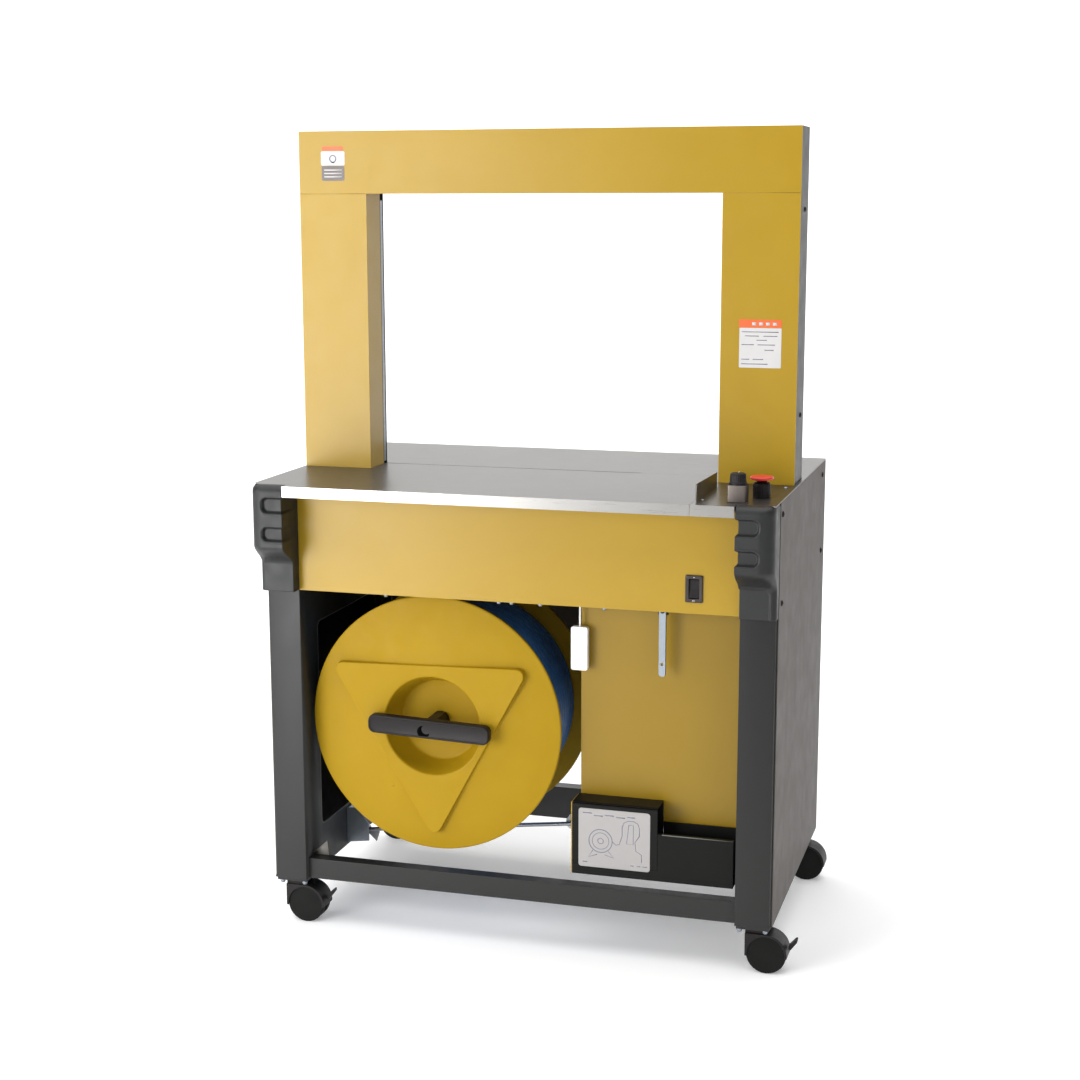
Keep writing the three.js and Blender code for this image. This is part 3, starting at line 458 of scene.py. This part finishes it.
def ribbon(points, width, axis, w0, w1, closed=False):
    """A flat raised line that follows points in the plane across an axis."""
    count = len(points)
    sections = []
    for i, (u, v) in enumerate(points):
        before = points[i - 1] if closed or i else points[i]
        after = points[(i + 1) % count] if closed or i < count - 1 else points[i]
        du, dv = after[0] - before[0], after[1] - before[1]
        length = math.hypot(du, dv)
        nu, nv = -dv / length * width / 2, du / length * width / 2
        sections.append([plane_point(axis, u + side * nu, v + side * nv, w)
                         for side, w in ((1, w0), (1, w1), (-1, w1), (-1, w0))])
    if closed:
        sections.append(sections[0])
    return loft(sections, start=not closed, end=not closed)


def arc(cu, cv, r, start, end, steps=24):
    """Points on a circle from one angle to another, in degrees."""
    angles = [math.radians(start + (end - start) * i / steps) for i in range(steps + 1)]
    return [(cu + r * math.cos(a), cv + r * math.sin(a)) for a in angles]


def ring_line(cu, cv, r, steps, width, axis, w0, w1):
    """A flat raised line round a whole circle."""
    return ribbon(arc(cu, cv, r, 0, 360, steps)[:-1], width, axis, w0, w1, True)


def screw(axis, centre, radius, height, sign):
    """A button head screw with a hex socket, whose head points along the axis times the sign."""
    profile = [(0.0, 0.35), (0.45, 0.35), (0.45, 0.95), (0.62, 1.0), (0.85, 0.78), (0.98, 0.3),
               (1.0, 0.0), (0.0, 0.0)]

    def hexagon(k, r, angle):
        if k in (1, 2):
            turn = angle % (math.pi / 3) - math.pi / 6
            return r * 0.9 / math.cos(turn)
        return r
    points = [(r * radius, h * height * sign) for r, h in profile]
    return lathe(points, axis, centre, 24, hexagon)


def screws(name, axis, places, radius, height, material, body, slot, sign=1):
    """One piece that holds a screw at each place."""
    parts = [screw(axis, at(*place), radius, height, sign) for place in places]
    piece(name, *merge(*parts), material, body, slot, edge=0)


# ---------------------------------------------------------------- corner bumpers
BUMPER_LOW, BUMPER_BACK = 634.3, -241.5
PLATE_LOW, PLATE_BACK = 827.5, -286.4       # above this height the back clears the table plate
RECESSES = ((781, 809), (731, 757))         # the lowest and highest point of each finger recess
RECESS_DEPTH = 8
STEP_TOP, STEP_LOW, STEP_BACK = 722, 684, 43.3      # where the face falls back, and how far
FRONT_ROUND, SIDE_ROUND = 14, 9             # radii of the top's front and side edges


def box_distance(u, v, half_u, half_v, r):
    """Signed distance to a rounded rectangle round the origin, negative inside."""
    a, b = abs(u) - half_u + r, abs(v) - half_v + r
    return math.hypot(max(a, 0), max(b, 0)) + min(max(a, b), 0) - r


def bumper_front(z):
    """How far forward the bumper's face stands at a height."""
    over = z - (TABLE - FRONT_ROUND)
    if over > 0:
        return FRONT + FRONT_ROUND * (1 - math.sqrt(max(0.0, 1 - (over / FRONT_ROUND) ** 2)))
    return FRONT + STEP_BACK * smooth(STEP_TOP, STEP_LOW, z)


def bumper_width(z):
    """How far out the bumper's outer side stands at a height."""
    over = max(z - (TABLE - SIDE_ROUND), 0.0)
    return HALF - SIDE_ROUND * (1 - math.sqrt(max(0.0, 1 - (over / SIDE_ROUND) ** 2)))


def bumper_depth(x, z, side):
    """How deep the finger recesses and the right bumper's lower inset go into the face."""
    depth = 0.0
    for low, high in RECESSES:
        half = (high - low) / 2
        d = box_distance(x - (LEG_INNER - 20), z - (low + half), 60, half, 11)
        depth += RECESS_DEPTH * smooth(0.5, -3.5, d)
        depth -= 0.8 * math.exp(-(d - 1.5) ** 2 / 2)        # a raised rim
    if side > 0:
        d = box_distance(x - 418, z - 630, 33, 56, 12)      # open at its lower end
        depth += 2.6 * smooth(0.5, -2.0, d)
    return depth


def bumper(side):
    """A moulded shell round a front corner, as level rings from its lower end to the top."""
    heights = [BUMPER_LOW, BUMPER_LOW + 0.8]
    heights += [636 + 1.5 * i for i in range(128)]
    heights += [PLATE_LOW, 827.6, 828.4, 829.2, 829.7, 829.95]
    rings = []
    for i, z in enumerate(heights):
        back = BUMPER_BACK if z <= PLATE_LOW else PLATE_BACK
        front, wide = bumper_front(z), bumper_width(z)
        corner = min(26 - 16 * smooth(STEP_TOP, STEP_LOW, z), BUMPER_BACK - 1.5 - front)
        inner = [(LEG_INNER + 0.2, back + (front + 2 - back) * t / 12) for t in range(13)]
        face = [(LEG_INNER + 0.9 + (wide - corner - LEG_INNER - 0.9) * t / 48, front)
                for t in range(49)]
        turn = [(wide - corner + corner * math.sin(a), front + corner - corner * math.cos(a))
                for a in (math.pi / 2 * t / 14 for t in range(1, 15))]
        outer = [(wide, front + corner + (back - front - corner) * t / 8) for t in range(1, 9)]
        inset = 0.6 if i == 0 else 0.0          # the lowest ring is smaller, for a soft edge
        ring = []
        for x, y in inner + face + turn + outer:
            # The recesses fade out round the corner, and cut into the inner edge.
            depth = bumper_depth(x, z, side)
            reach = smooth(front + corner + 4, front, y) if y > front else 1.0
            pressed = min(y + depth * reach, back)
            scoop = 0.55 * max(depth, 0) * smooth(LEG_INNER + 14, LEG_INNER, x)
            shift = scoop * smooth(back - 8, front + 8, y) - (inset if x > 430 else 0)
            ring.append(at(side * (x + shift), pressed + inset * (y < -260), z))
        rings.append(ring)
    name = "left_bumper_shell" if side < 0 else "right_bumper_shell"
    obj = piece(name, *loft(rings, start=True, end=True), BUMPER, "stand", "bumper_plastic", edge=0)
    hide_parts("left_bumper" if side < 0 else "right_bumper")


bumper(-1)
bumper(1)

# ---------------------------------------------------------------- strap reel
REEL_X, REEL_Z, REEL_RADIUS = -158.5, 393.5, 234
REEL_FRONT, REEL_BACK = -197, 13            # the flanges' faces, at their rims
REEL_AXIS = at(REEL_X, 0, REEL_Z)
# The raised rounded triangle, in millimetres and radians about the reel's axis.
PLATFORM = {"inradius": 108, "corner": 13, "x": -4, "z": 3, "tilt": 0.026}


def platform_distance(u, v):
    """Signed distance to the rounded triangle, negative inside."""
    corner = PLATFORM["corner"]
    reach = 2 * (PLATFORM["inradius"] - corner)
    angles = [PLATFORM["tilt"] + math.pi / 6 + k * 2 * math.pi / 3 for k in range(3)]
    corners = [(PLATFORM["x"] + reach * math.cos(a), PLATFORM["z"] + reach * math.sin(a))
               for a in angles]
    nearest, inside = 1e9, True
    for k in range(3):
        (u0, v0), (u1, v1) = corners[k], corners[(k + 1) % 3]
        du, dv = u1 - u0, v1 - v0
        t = min(max(((u - u0) * du + (v - v0) * dv) / (du * du + dv * dv), 0.0), 1.0)
        nearest = min(nearest, math.hypot(u - u0 - t * du, v - v0 - t * dv))
        inside = inside and du * (v - v0) - dv * (u - u0) >= 0
    return (-nearest if inside else nearest) - corner


def platform_radius(angle):
    """How far the rounded triangle's edge is from the reel's centre, found by halving."""
    low, high = 60.0, REEL_RADIUS - 4.0
    for _ in range(30):
        middle = (low + high) / 2
        if platform_distance(middle * math.cos(angle), middle * math.sin(angle)) > 0:
            high = middle
        else:
            low = middle
    return low


def flange():
    """The front flange: dished, with a raised triangle and a cone down to the hub."""
    segments = 240
    angles = [2 * math.pi * j / segments for j in range(segments)]
    edge = [platform_radius(a) for a in angles]
    y = REEL_FRONT
    raised = y - 16.9                           # the triangle's face
    cup_radius, cup_floor = 75, y + 28          # where the cone starts
    cone_width, cone_rise = 15, 43
    dish_radius = REEL_RADIUS - 5
    rings = []

    def dish(r):
        """The face outside the triangle, which falls back towards the rim."""
        if r > 204:
            return y - 4 + 4 * (r - 204) / 30
        return y - 13 + 9 * (r - 91) / 113

    def ring(radii, height):
        """A ring of any outline, where the height depends on the radius."""
        rings.append([along("y", REEL_AXIS, r, height(r), a) for r, a in zip(radii, angles)])

    def circles(*profile):
        """Round rings, as [radius, height] points from the flange's face."""
        for r, h in profile:
            ring([r] * segments, lambda _: y + h)

    circles((15.2, 36.8), (15.2, 32.4), (17, 32), (40, 32), (70, 32), (72.5, 31.6), (74, 30.4),
            (cup_radius, 28))
    for t in range(1, 13):
        ring([cup_radius + cone_width * t / 12] * segments,
             lambda _: cup_floor - cone_rise * t / 12)
    circles((90.6, -15.9), (91.6, -16.6), (93, -16.9))
    for t in (0.2, 0.4, 0.6, 0.8, 0.95):
        ring([93 + (e - 97) * t for e in edge], lambda _: raised)
    for d, lift in ((-3.5, 1.0), (-1.8, 1.0), (-1.1, 0.95), (-0.6, 0.8), (-0.2, 0.55), (0.2, 0.28),
                    (0.6, 0.08), (1.2, 0.0), (3.0, 0.0)):
        ring([e + d for e in edge], lambda r: dish(r) + (raised - dish(r)) * lift)
    for t in range(1, 11):
        ring([e + 3 + (dish_radius - e - 3) * t / 10 for e in edge], dish)
    circles((231, -0.4), (232.8, 0.0), (233.8, 0.9), (REEL_RADIUS, 2), (REEL_RADIUS, 4.6),
            (233.2, 5.7), (232, 6), (150, 6), (95.2, 6), (93, 10), (88.2, 36), (87.4, 36.8))
    rings.append(rings[0])
    obj = piece("reel_front_flange", *loft(rings), REEL, "reel", "reel_plastic", edge=0)
    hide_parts("front_flange")


flange()


def rear_flange():
    """The rear flange: a disc with pressed rings on its back."""
    y = REEL_BACK
    profile = [(27.2, y + 0.4), (27.8, y), (231, y), (233.2, y + 0.6), (REEL_RADIUS, y + 2),
               (REEL_RADIUS, y + 4.5), (233, y + 5.8), (230, y + 6.2), (200, y + 6.6),
               (196, y + 4.6), (150, y + 4.8), (146, y + 7.4), (120, y + 8.2), (84, y + 8.6),
               (80, y + 6.6), (52, y + 6.6), (48, y + 8.8), (29, y + 8.9), (27.2, y + 8.3),
               (27.2, y + 0.4)]
    obj = piece("reel_rear_flange", *lathe(profile, "y", REEL_AXIS, 160), REEL, "reel",
                "reel_plastic", edge=0.0003)
    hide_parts("rear_flange")


rear_flange()


def coil():
    """Turns of strap lie side by side across the reel and slightly out of line."""
    turns, y0, y1 = 15, -188.8, 10.8
    bore, side, outer = 100.6, 200, 201.6
    width = (y1 - y0) / turns
    shape = [(0.02, -0.8), (0.06, -0.25), (0.14, 0.0), (0.5, 0.12), (0.86, 0.0), (0.94, -0.25)]
    profile = [(bore, y0), (120, y0), (160, y0), (side, y0)]
    profile += [(outer + h, y0 + (i + t) * width) for i in range(turns) for t, h in shape]
    profile += [(side, y1), (160, y1), (bore, y1), (bore, y0)]

    def uneven(k, r, angle):
        """Shifts each turn of strap by noise, up to 1.4 mm inwards."""
        if r <= side:
            return r
        place = Vector((math.cos(angle) * 2.2, math.sin(angle) * 2.2, k // len(shape) * 0.9))
        return r + 0.7 * noise.noise(place) - 0.7
    obj = piece("strap_winding", *lathe(profile, "y", REEL_AXIS, 144, uneven), STRAP, "reel",
                "strap_plastic", edge=0)
    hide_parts("strap_coil")


coil()

# A small round mark on the flange, where its plastic was moulded.
mark = lathe([(0, -206.6), (3.2, -206.4), (4.0, -205.6), (4.2, -203)], "y",
             at(REEL_X - 80, 0, REEL_Z - 118), 20)
piece("moulding_mark", *mark, REEL, "reel", "reel_plastic", 0)


def lock_bar():
    """The bar that locks the reel, on a hexagonal sleeve, with a raised rim, and a painted dark
    crescent for the shade of its thumb hollow.
    """
    tilt, front, back = -0.035, -239, -223.2
    half, tall = 113.5, 17
    sleeve_end, bore_end = -165.8, -207.0

    def turned(u, v, y):
        return at(REEL_X + u * math.cos(tilt) - v * math.sin(tilt), y,
                  REEL_Z + u * math.sin(tilt) + v * math.cos(tilt))

    def shrunk(amount):
        return [(u * (1 - amount / half), v * (1 - amount / tall))
                for u, v in rounded(-half, half, -tall, tall, 12, 8)]

    def hexagon(r):
        return [(r * math.cos(k * math.pi / 3), r * math.sin(k * math.pi / 3)) for k in range(6)]

    rings = [(shrunk(0), back), (shrunk(0), front + 3.2), (shrunk(0.5), front + 1.2),
             (shrunk(1.6), front + 0.2), (shrunk(2.4), front), (shrunk(3.4), front + 0.2),
             (shrunk(4.0), front + 0.9), (shrunk(5.0), front + 1.2)]
    skin = loft([[turned(u, v, y) for u, v in ring] for ring, y in rings], start=True, end=True)
    sleeve = [[turned(u, v, y) for u, v in hexagon(r)] for r, y in
              ((17, back + 0.5), (17, sleeve_end), (14.8, sleeve_end), (14.8, bore_end))]
    obj = piece("lock_bar", *merge(skin, loft(sleeve, start=True, end=True)), BLACK,
                "reel_lock", "black_plastic", edge=0.0004, angle=50)
    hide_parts("reel_lock_handle")
    # The hollow's shade is painted as a dark crescent between two arcs.
    outer = arc(-8.4, -5, 11.5, 96, 354)
    inner = arc(-3.4, 0, 8.6, 133, 317)
    crescent = [[turned(*o, front + 1.0), turned(*o, front + 1.6), turned(*i, front + 1.6),
                 turned(*i, front + 1.0)] for o, i in zip(outer, inner)]
    piece("lock_hollow_shade", *loft(crescent, start=True, end=True), SHADE_BLACK, "reel_lock",
          "black_plastic", edge=0)


lock_bar()


# ---------------------------------------------------------------- labels
def paper(name, colour, light, roughness=0.4):
    return moulded(name, colour, light, roughness, 600, 0.00003)


WHITE_PAPER = paper("white_label", srgb(200, 198, 197), srgb(192, 190, 190))
LABEL_PAPER = paper("threading_paper", srgb(160, 157, 156), srgb(154, 151, 151))
GREY_PAPER = paper("grey_label", srgb(100, 92, 90), srgb(110, 102, 100))
ORANGE_PAPER = paper("orange_label", srgb(216, 96, 44), srgb(222, 112, 58))
INK = paper("label_ink", srgb(112, 113, 130), srgb(128, 129, 146), 0.45)
COVER_Y, LABEL_Y = -54, -212                # the faces that the labels are stuck to
PRINT = ("y", COVER_Y - 0.24, COVER_Y - 0.34)
LABEL_PRINT = ("y", LABEL_Y - 0.48, LABEL_Y - 0.62)


def sticker(name, u0, u1, v0, v1, material, r=2.0, proud=0.25, y=COVER_Y):
    outline = rounded(u0, u1, v0, v1, r, 5)
    piece(name, *slab(outline, "y", y - 0.02, y - proud), material, "stand", "white_plastic",
          edge=0.0001)


def printed(name, material, *parts):
    """Blocks and lines that stand in for print, with no lettering."""
    piece(name, *merge(*parts), material, "stand", "white_plastic", 0)


def beam_sticker():
    sticker("beam_sticker_head", -414, -373, 1405, 1413, ORANGE_PAPER)
    sticker("beam_sticker_top", -416, -370, 1379, 1404.5, WHITE_PAPER, 3)
    sticker("beam_sticker_low", -415, -371, 1352, 1378.5, GREY_PAPER, 3)
    printed("beam_sticker_bars", WHITE_PAPER,
            *(bar(-410, -376, v, v + 2.2, *PRINT) for v in (1358, 1364, 1370)))
    printed("beam_sticker_mark", INK, ring_line(-393, 1391, 6, 20, 2.0, *PRINT),
            bar(-396, -390, 1383.5, 1385.5, *PRINT))


def column_sticker():
    sticker("column_sticker_head", 353, 427, 1101, 1115, ORANGE_PAPER, 1.5)
    sticker("column_sticker_body", 354, 427, 1032, 1100.5, WHITE_PAPER, 1.5)
    lines = ((358, 422, 1093), (364, 388, 1086), (396, 420, 1086), (384, 402, 1079),
             (358, 380, 1071), (386, 416, 1071), (398, 414, 1062), (358, 372, 1046),
             (378, 396, 1046), (358, 404, 1038))
    printed("column_sticker_bars", INK, *(bar(u0, u1, v, v + 1.4, *PRINT) for u0, u1, v in lines))
    printed("column_sticker_blocks", WHITE_PAPER,
            *(bar(u, u + 7, 1105, 1110, *PRINT) for u in (376, 388, 400, 412)))


def threading_label():
    """A generic sketch of a reel on its stand, with a strap path to the right of it."""
    sticker("threading_label", 112, 241, 160, 267, LABEL_PAPER, 5, 0.5, LABEL_Y)
    lines = ((1.2, (173, 209), (180, 204), (186, 206), (191, 222), (191, 238)),
             (1.2, (191, 238), (194, 246), (202, 250), (212, 250), (219, 246), (222, 238),
              (222, 224)),
             (1.0, (203, 243), (211, 243), (211, 208), (199, 208), (203, 243)),
             (1.2, (222, 224), (214, 212), (216, 196), (226, 190), (226, 176)),
             (1.2, (138, 191), (130, 178), (146, 184)),
             (1.2, (166, 191), (176, 180), (160, 184)))
    dashes = ((120, 136, 258), (140, 156, 254), (160, 176, 256), (180, 196, 254),
              (200, 214, 256), (206, 212, 168), (218, 224, 168), (228, 236, 168),
              (120, 128, 168))
    printed("threading_label_lines", INK,
            *(ring_line(152, 209, r, steps, width, *LABEL_PRINT)
              for r, steps, width in ((21, 40, 1.5), (15, 36, 1.0), (5, 20, 1.2))),
            *(ribbon(points, width, *LABEL_PRINT) for width, *points in lines),
            *(bar(u0, u1, v, v + 1.6, *LABEL_PRINT) for u0, u1, v in dashes))


beam_sticker()
column_sticker()
threading_label()

# ---------------------------------------------------------------- screws and bolts
SCREW = (4.6, 2.4, BLACK, "stand", "black_plastic")
SIDE_SCREWS = [(-216, 806), (-208, 654), (260, 805), (262, 659)]
for side, name in ((-1, "left"), (1, "right")):
    screws(f"{name}_panel_screws", "x", [(side * HALF, y, z) for y, z in SIDE_SCREWS], 5.2, 2.6,
           BLACK, "stand", "black_plastic", side)
for name, x, sign in (("right", 455, 1), ("left", -459, -1)):
    screws(f"{name}_arch_screws", "x", [(x, -8, z) for z in (1301, 948)], *SCREW, sign)
screws("control_panel_screws", "z", [(333.5, -256, TABLE), (445, -86, TABLE)], 3.6, 1.8, ZINC,
       "stand", "zinc_plate")
screws("flange_bolts", "z", [(x, -228, 634) for x in (-237, -28, -5, 47, 161)], 4.2, 6, ZINC,
       "stand", "zinc_plate", -1)
screws("caster_plate_bolts", "z", [(x, y, 84) for x in (-449, -405, 404, 449)
                                   for y in (-230, -178, 241, 292)], 5.0, 7, ZINC, "stand",
       "zinc_plate", -1)
screws("rear_panel_screws", "y", [(x, BACK, z) for x in (-375, 0, 375) for z in (316, 812)],
       *SCREW)
screws("arch_back_screws", "y", [(x, 31, z) for x, z in (
    (-394, 860), (-394, 1100), (-394, 1384), (0, 1384), (388, 860), (388, 1100), (388, 1384))],
       *SCREW)

# ---------------------------------------------------------------- controls
KNOB = (391.5, -250)            # where the selector and the stop button stand on the panel
STOP = (422.5, -200)


def selector():
    """A black knob with fine grip flutes and a pale pointer line."""
    centre = at(*KNOB, 0)
    z = TABLE + 28.4            # the top of the selector's box
    profile = [(0, z), (14.7, z), (15, z + 0.4), (15, z + 3.0), (14.4, z + 3.8), (13.9, z + 4.2),
               (13.7, z + 5.4), (13.5, z + 10), (13.0, z + 15.8), (12.4, z + 17.6),
               (10.8, z + 18.7), (7.6, z + 19), (0, z + 19)]

    def fluted(k, r, angle):
        return r - 0.45 * (0.5 + 0.5 * math.cos(angle * 24)) ** 3 if 5 <= k <= 9 else r
    obj = piece("selector_grip", *lathe(profile, "z", centre, 192, fluted), BLACK, "selector",
                "black_plastic", edge=0)
    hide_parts("selector_knob")
    x, y = KNOB
    pointer = merge(bar(x - 0.8, x + 0.8, y + 3, y + 11, "z", z + 18.6, z + 19.4),
                    bar(x - 0.8, x + 0.8, z + 7, z + 16, "y", y + 12.6, y + 13.8))
    piece("selector_pointer", *pointer, WHITE, "selector", "white_plastic", edge=0.0001)


selector()


def stop_button():
    """A red mushroom on a black stem that slides in a ribbed collar."""
    centre = at(*STOP, 0)
    z = TABLE + 0.35            # just clear of the panel
    bore = 9.4
    collar = [(bore, z), (14.4, z), (14.7, z + 0.4), (14.7, z + 21), (14.2, z + 23.4),
              (12.7, z + 24.8), (bore, z + 25), (bore, z)]

    def ribbed(k, r, angle):
        return r - 0.4 * (0.5 + 0.5 * math.cos(angle * 18)) ** 2 if 2 <= k <= 3 else r
    obj = piece("stop_collar", *lathe(collar, "z", centre, 144, ribbed), BLACK, "stand",
                "black_plastic", edge=0)
    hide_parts("estop_base")
    z = TABLE + 0.3             # the button's own base
    stem = [(0, z + 6), (8.9, z + 6), (9, z + 6.4), (9, z + 29), (0, z + 29)]
    obj = piece("stop_stem", *lathe(stem, "z", centre, 48), BLACK, "estop", "black_plastic", edge=0)
    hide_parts("estop_button")
    head = [(0, z + 28.9), (14, z + 29.1), (17.6, z + 29.9), (19.6, z + 31.6), (20, z + 33),
            (19.5, z + 34.4), (17.6, z + 35.6), (13, z + 36.5), (7, z + 36.9), (0, z + 37)]
    piece("stop_head", *lathe(head, "z", centre, 96), RED, "estop", "red_plastic", edge=0)


stop_button()


def power_switch():
    """A rocker in a raised surround with a deep mouth, and a dot and a line on the surround."""
    x, z, face = 319, 677, -241         # its middle, and the front panel's face
    outline = rounded(x - 15, x + 15, z - 23.5, z + 23.5, 2.5, 5)
    lip = rounded(x - 13.6, x + 13.6, z - 22.1, z + 22.1, 2, 5)
    mouth = rounded(x - 9, x + 9, z - 17, z + 17, 0.8, 5)
    shell = rounded(x - 11.4, x + 11.4, z - 19.4, z + 19.4, 1, 5)
    rings = [(outline, -0.35), (outline, -2.0), (lip, -3.1), (mouth, -2.9), (mouth, 16.8),
             (shell, 19.8), (shell, -0.35), (outline, -0.35)]
    body = loft([[plane_point("y", u, v, face + w) for u, v in ring] for ring, w in rings])
    obj = piece("switch_frame", *body, SWITCH_BLACK, "stand", "black_plastic", edge=0.0002)
    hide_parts("switch_bezel")
    side_view = [(-3.1, -15.4), (-2.9, -14.8), (-1.4, -8), (0.2, -2), (0.5, 0), (0.6, 4),
                 (0.5, 10), (0.4, 14.8), (0.7, 15.4), (6, 13), (9, 0), (6, -13)]
    key = slab([(face + a, z + b) for a, b in side_view], "x", x - 8.5, x + 8.5)
    obj = piece("switch_key", *key, BLACK, "rocker", "black_plastic", edge=0.0003)
    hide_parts("switch_rocker")
    line = ("y", face - 2.9, face - 3.15)
    dots = merge(bar(x - 0.7, x + 0.7, z + 19, z + 20.6, *line),
                 bar(x - 2.2, x + 2.2, z - 20.6, z - 19.6, *line))
    piece("switch_dots", *dots, WHITE, "stand", "white_plastic", 0)


power_switch()

# ---------------------------------------------------------------- sheet metal detail
seams = merge(*(bar(x0, x1, 1328.3, 1329.2, "y", COVER_Y - 0.01, COVER_Y - 0.12)
                for x0, x1 in ((-458.4, -331), (322, 454.4))))
piece("cover_seams", *seams, SEAM, "stand", "yellow_paint", 0)


def louvres():
    """Two columns of pressed louvres in the rear panel, each flattened out at its ends."""
    root = BACK - 0.1
    widths = ((-45, 0.03), (-42, 0.55), (-36, 0.9), (-28, 1.0), (28, 1.0), (36, 0.9), (42, 0.55),
              (45, 0.03))
    parts = []
    for row in range(7):
        for x in (-110, 110):
            z = 700 - row * 18
            section = [(BACK, z), (BACK, z + 8), (309.2, z + 2.6), (309.6, z + 0.6), (309.2, z)]
            ends = [[at(x + u, root + (y - root) * scale, v) for y, v in section]
                    for u, scale in widths]
            parts.append(loft(ends, start=True, end=True))
    piece("rear_louvres", *merge(*parts), GREY, "stand", "grey_paint", edge=0)


louvres()

# The frame's rolled lips round the two side windows, in a light grey that is a painted highlight.
for side, name in ((-1, "left"), (1, "right")):
    outline = rounded(-164, 222, 170, 560, 14, 6)
    inner = rounded(-162.4, 220.4, 171.6, 558.4, 12.4, 6)
    w0, w1 = side * 396.9, side * 399.5
    rings = [[at(w, u, v) for u, v in ring] for ring, w in
             ((outline, w0), (inner, w0), (inner, w1), (outline, w1), (outline, w0))]
    piece(f"{name}_painted_lip_highlight", *loft(rings), LIP_HIGHLIGHT, "stand", "dark_paint", edge=0)

# A painted highlight on the front of the gusset that is welded to the front rail.
gusset = [(-396.4, 128.4), (-366.4, 128.4), (-366.4, 131), (-369.4, 156), (-396.4, 132.4)]
piece("gusset_highlight_face", *slab(gusset, "y", -205.8, -205.55), GUSSET_HIGHLIGHT, "stand", "dark_paint", edge=0)

# Black sheets just inside the side panels are painted shade that makes the two windows dark.
for side, name in ((-1, "left"), (1, "right")):
    shade_sheet = bar(-232, 300, 100, 815, "x", side * 458.9, side * 458.1)
    piece(f"{name}_felt", *shade_sheet, SHADE_BLACK, "stand", "black_plastic", edge=0)

# The label box's left end, which is yellow, and the light that the trough's lip catches.
piece("label_box_end", *bar(-211.6, -163.4, 146, 276, "x", 98.2, 99.9), YELLOW, "stand",
      "yellow_paint", edge=0.0003)
piece("trough_lip_line", *bar(262, 387.6, 229.4, 231.2, "y", -212.05, -212.35), LIP_HIGHLIGHT, "stand",
      "dark_paint", edge=0)
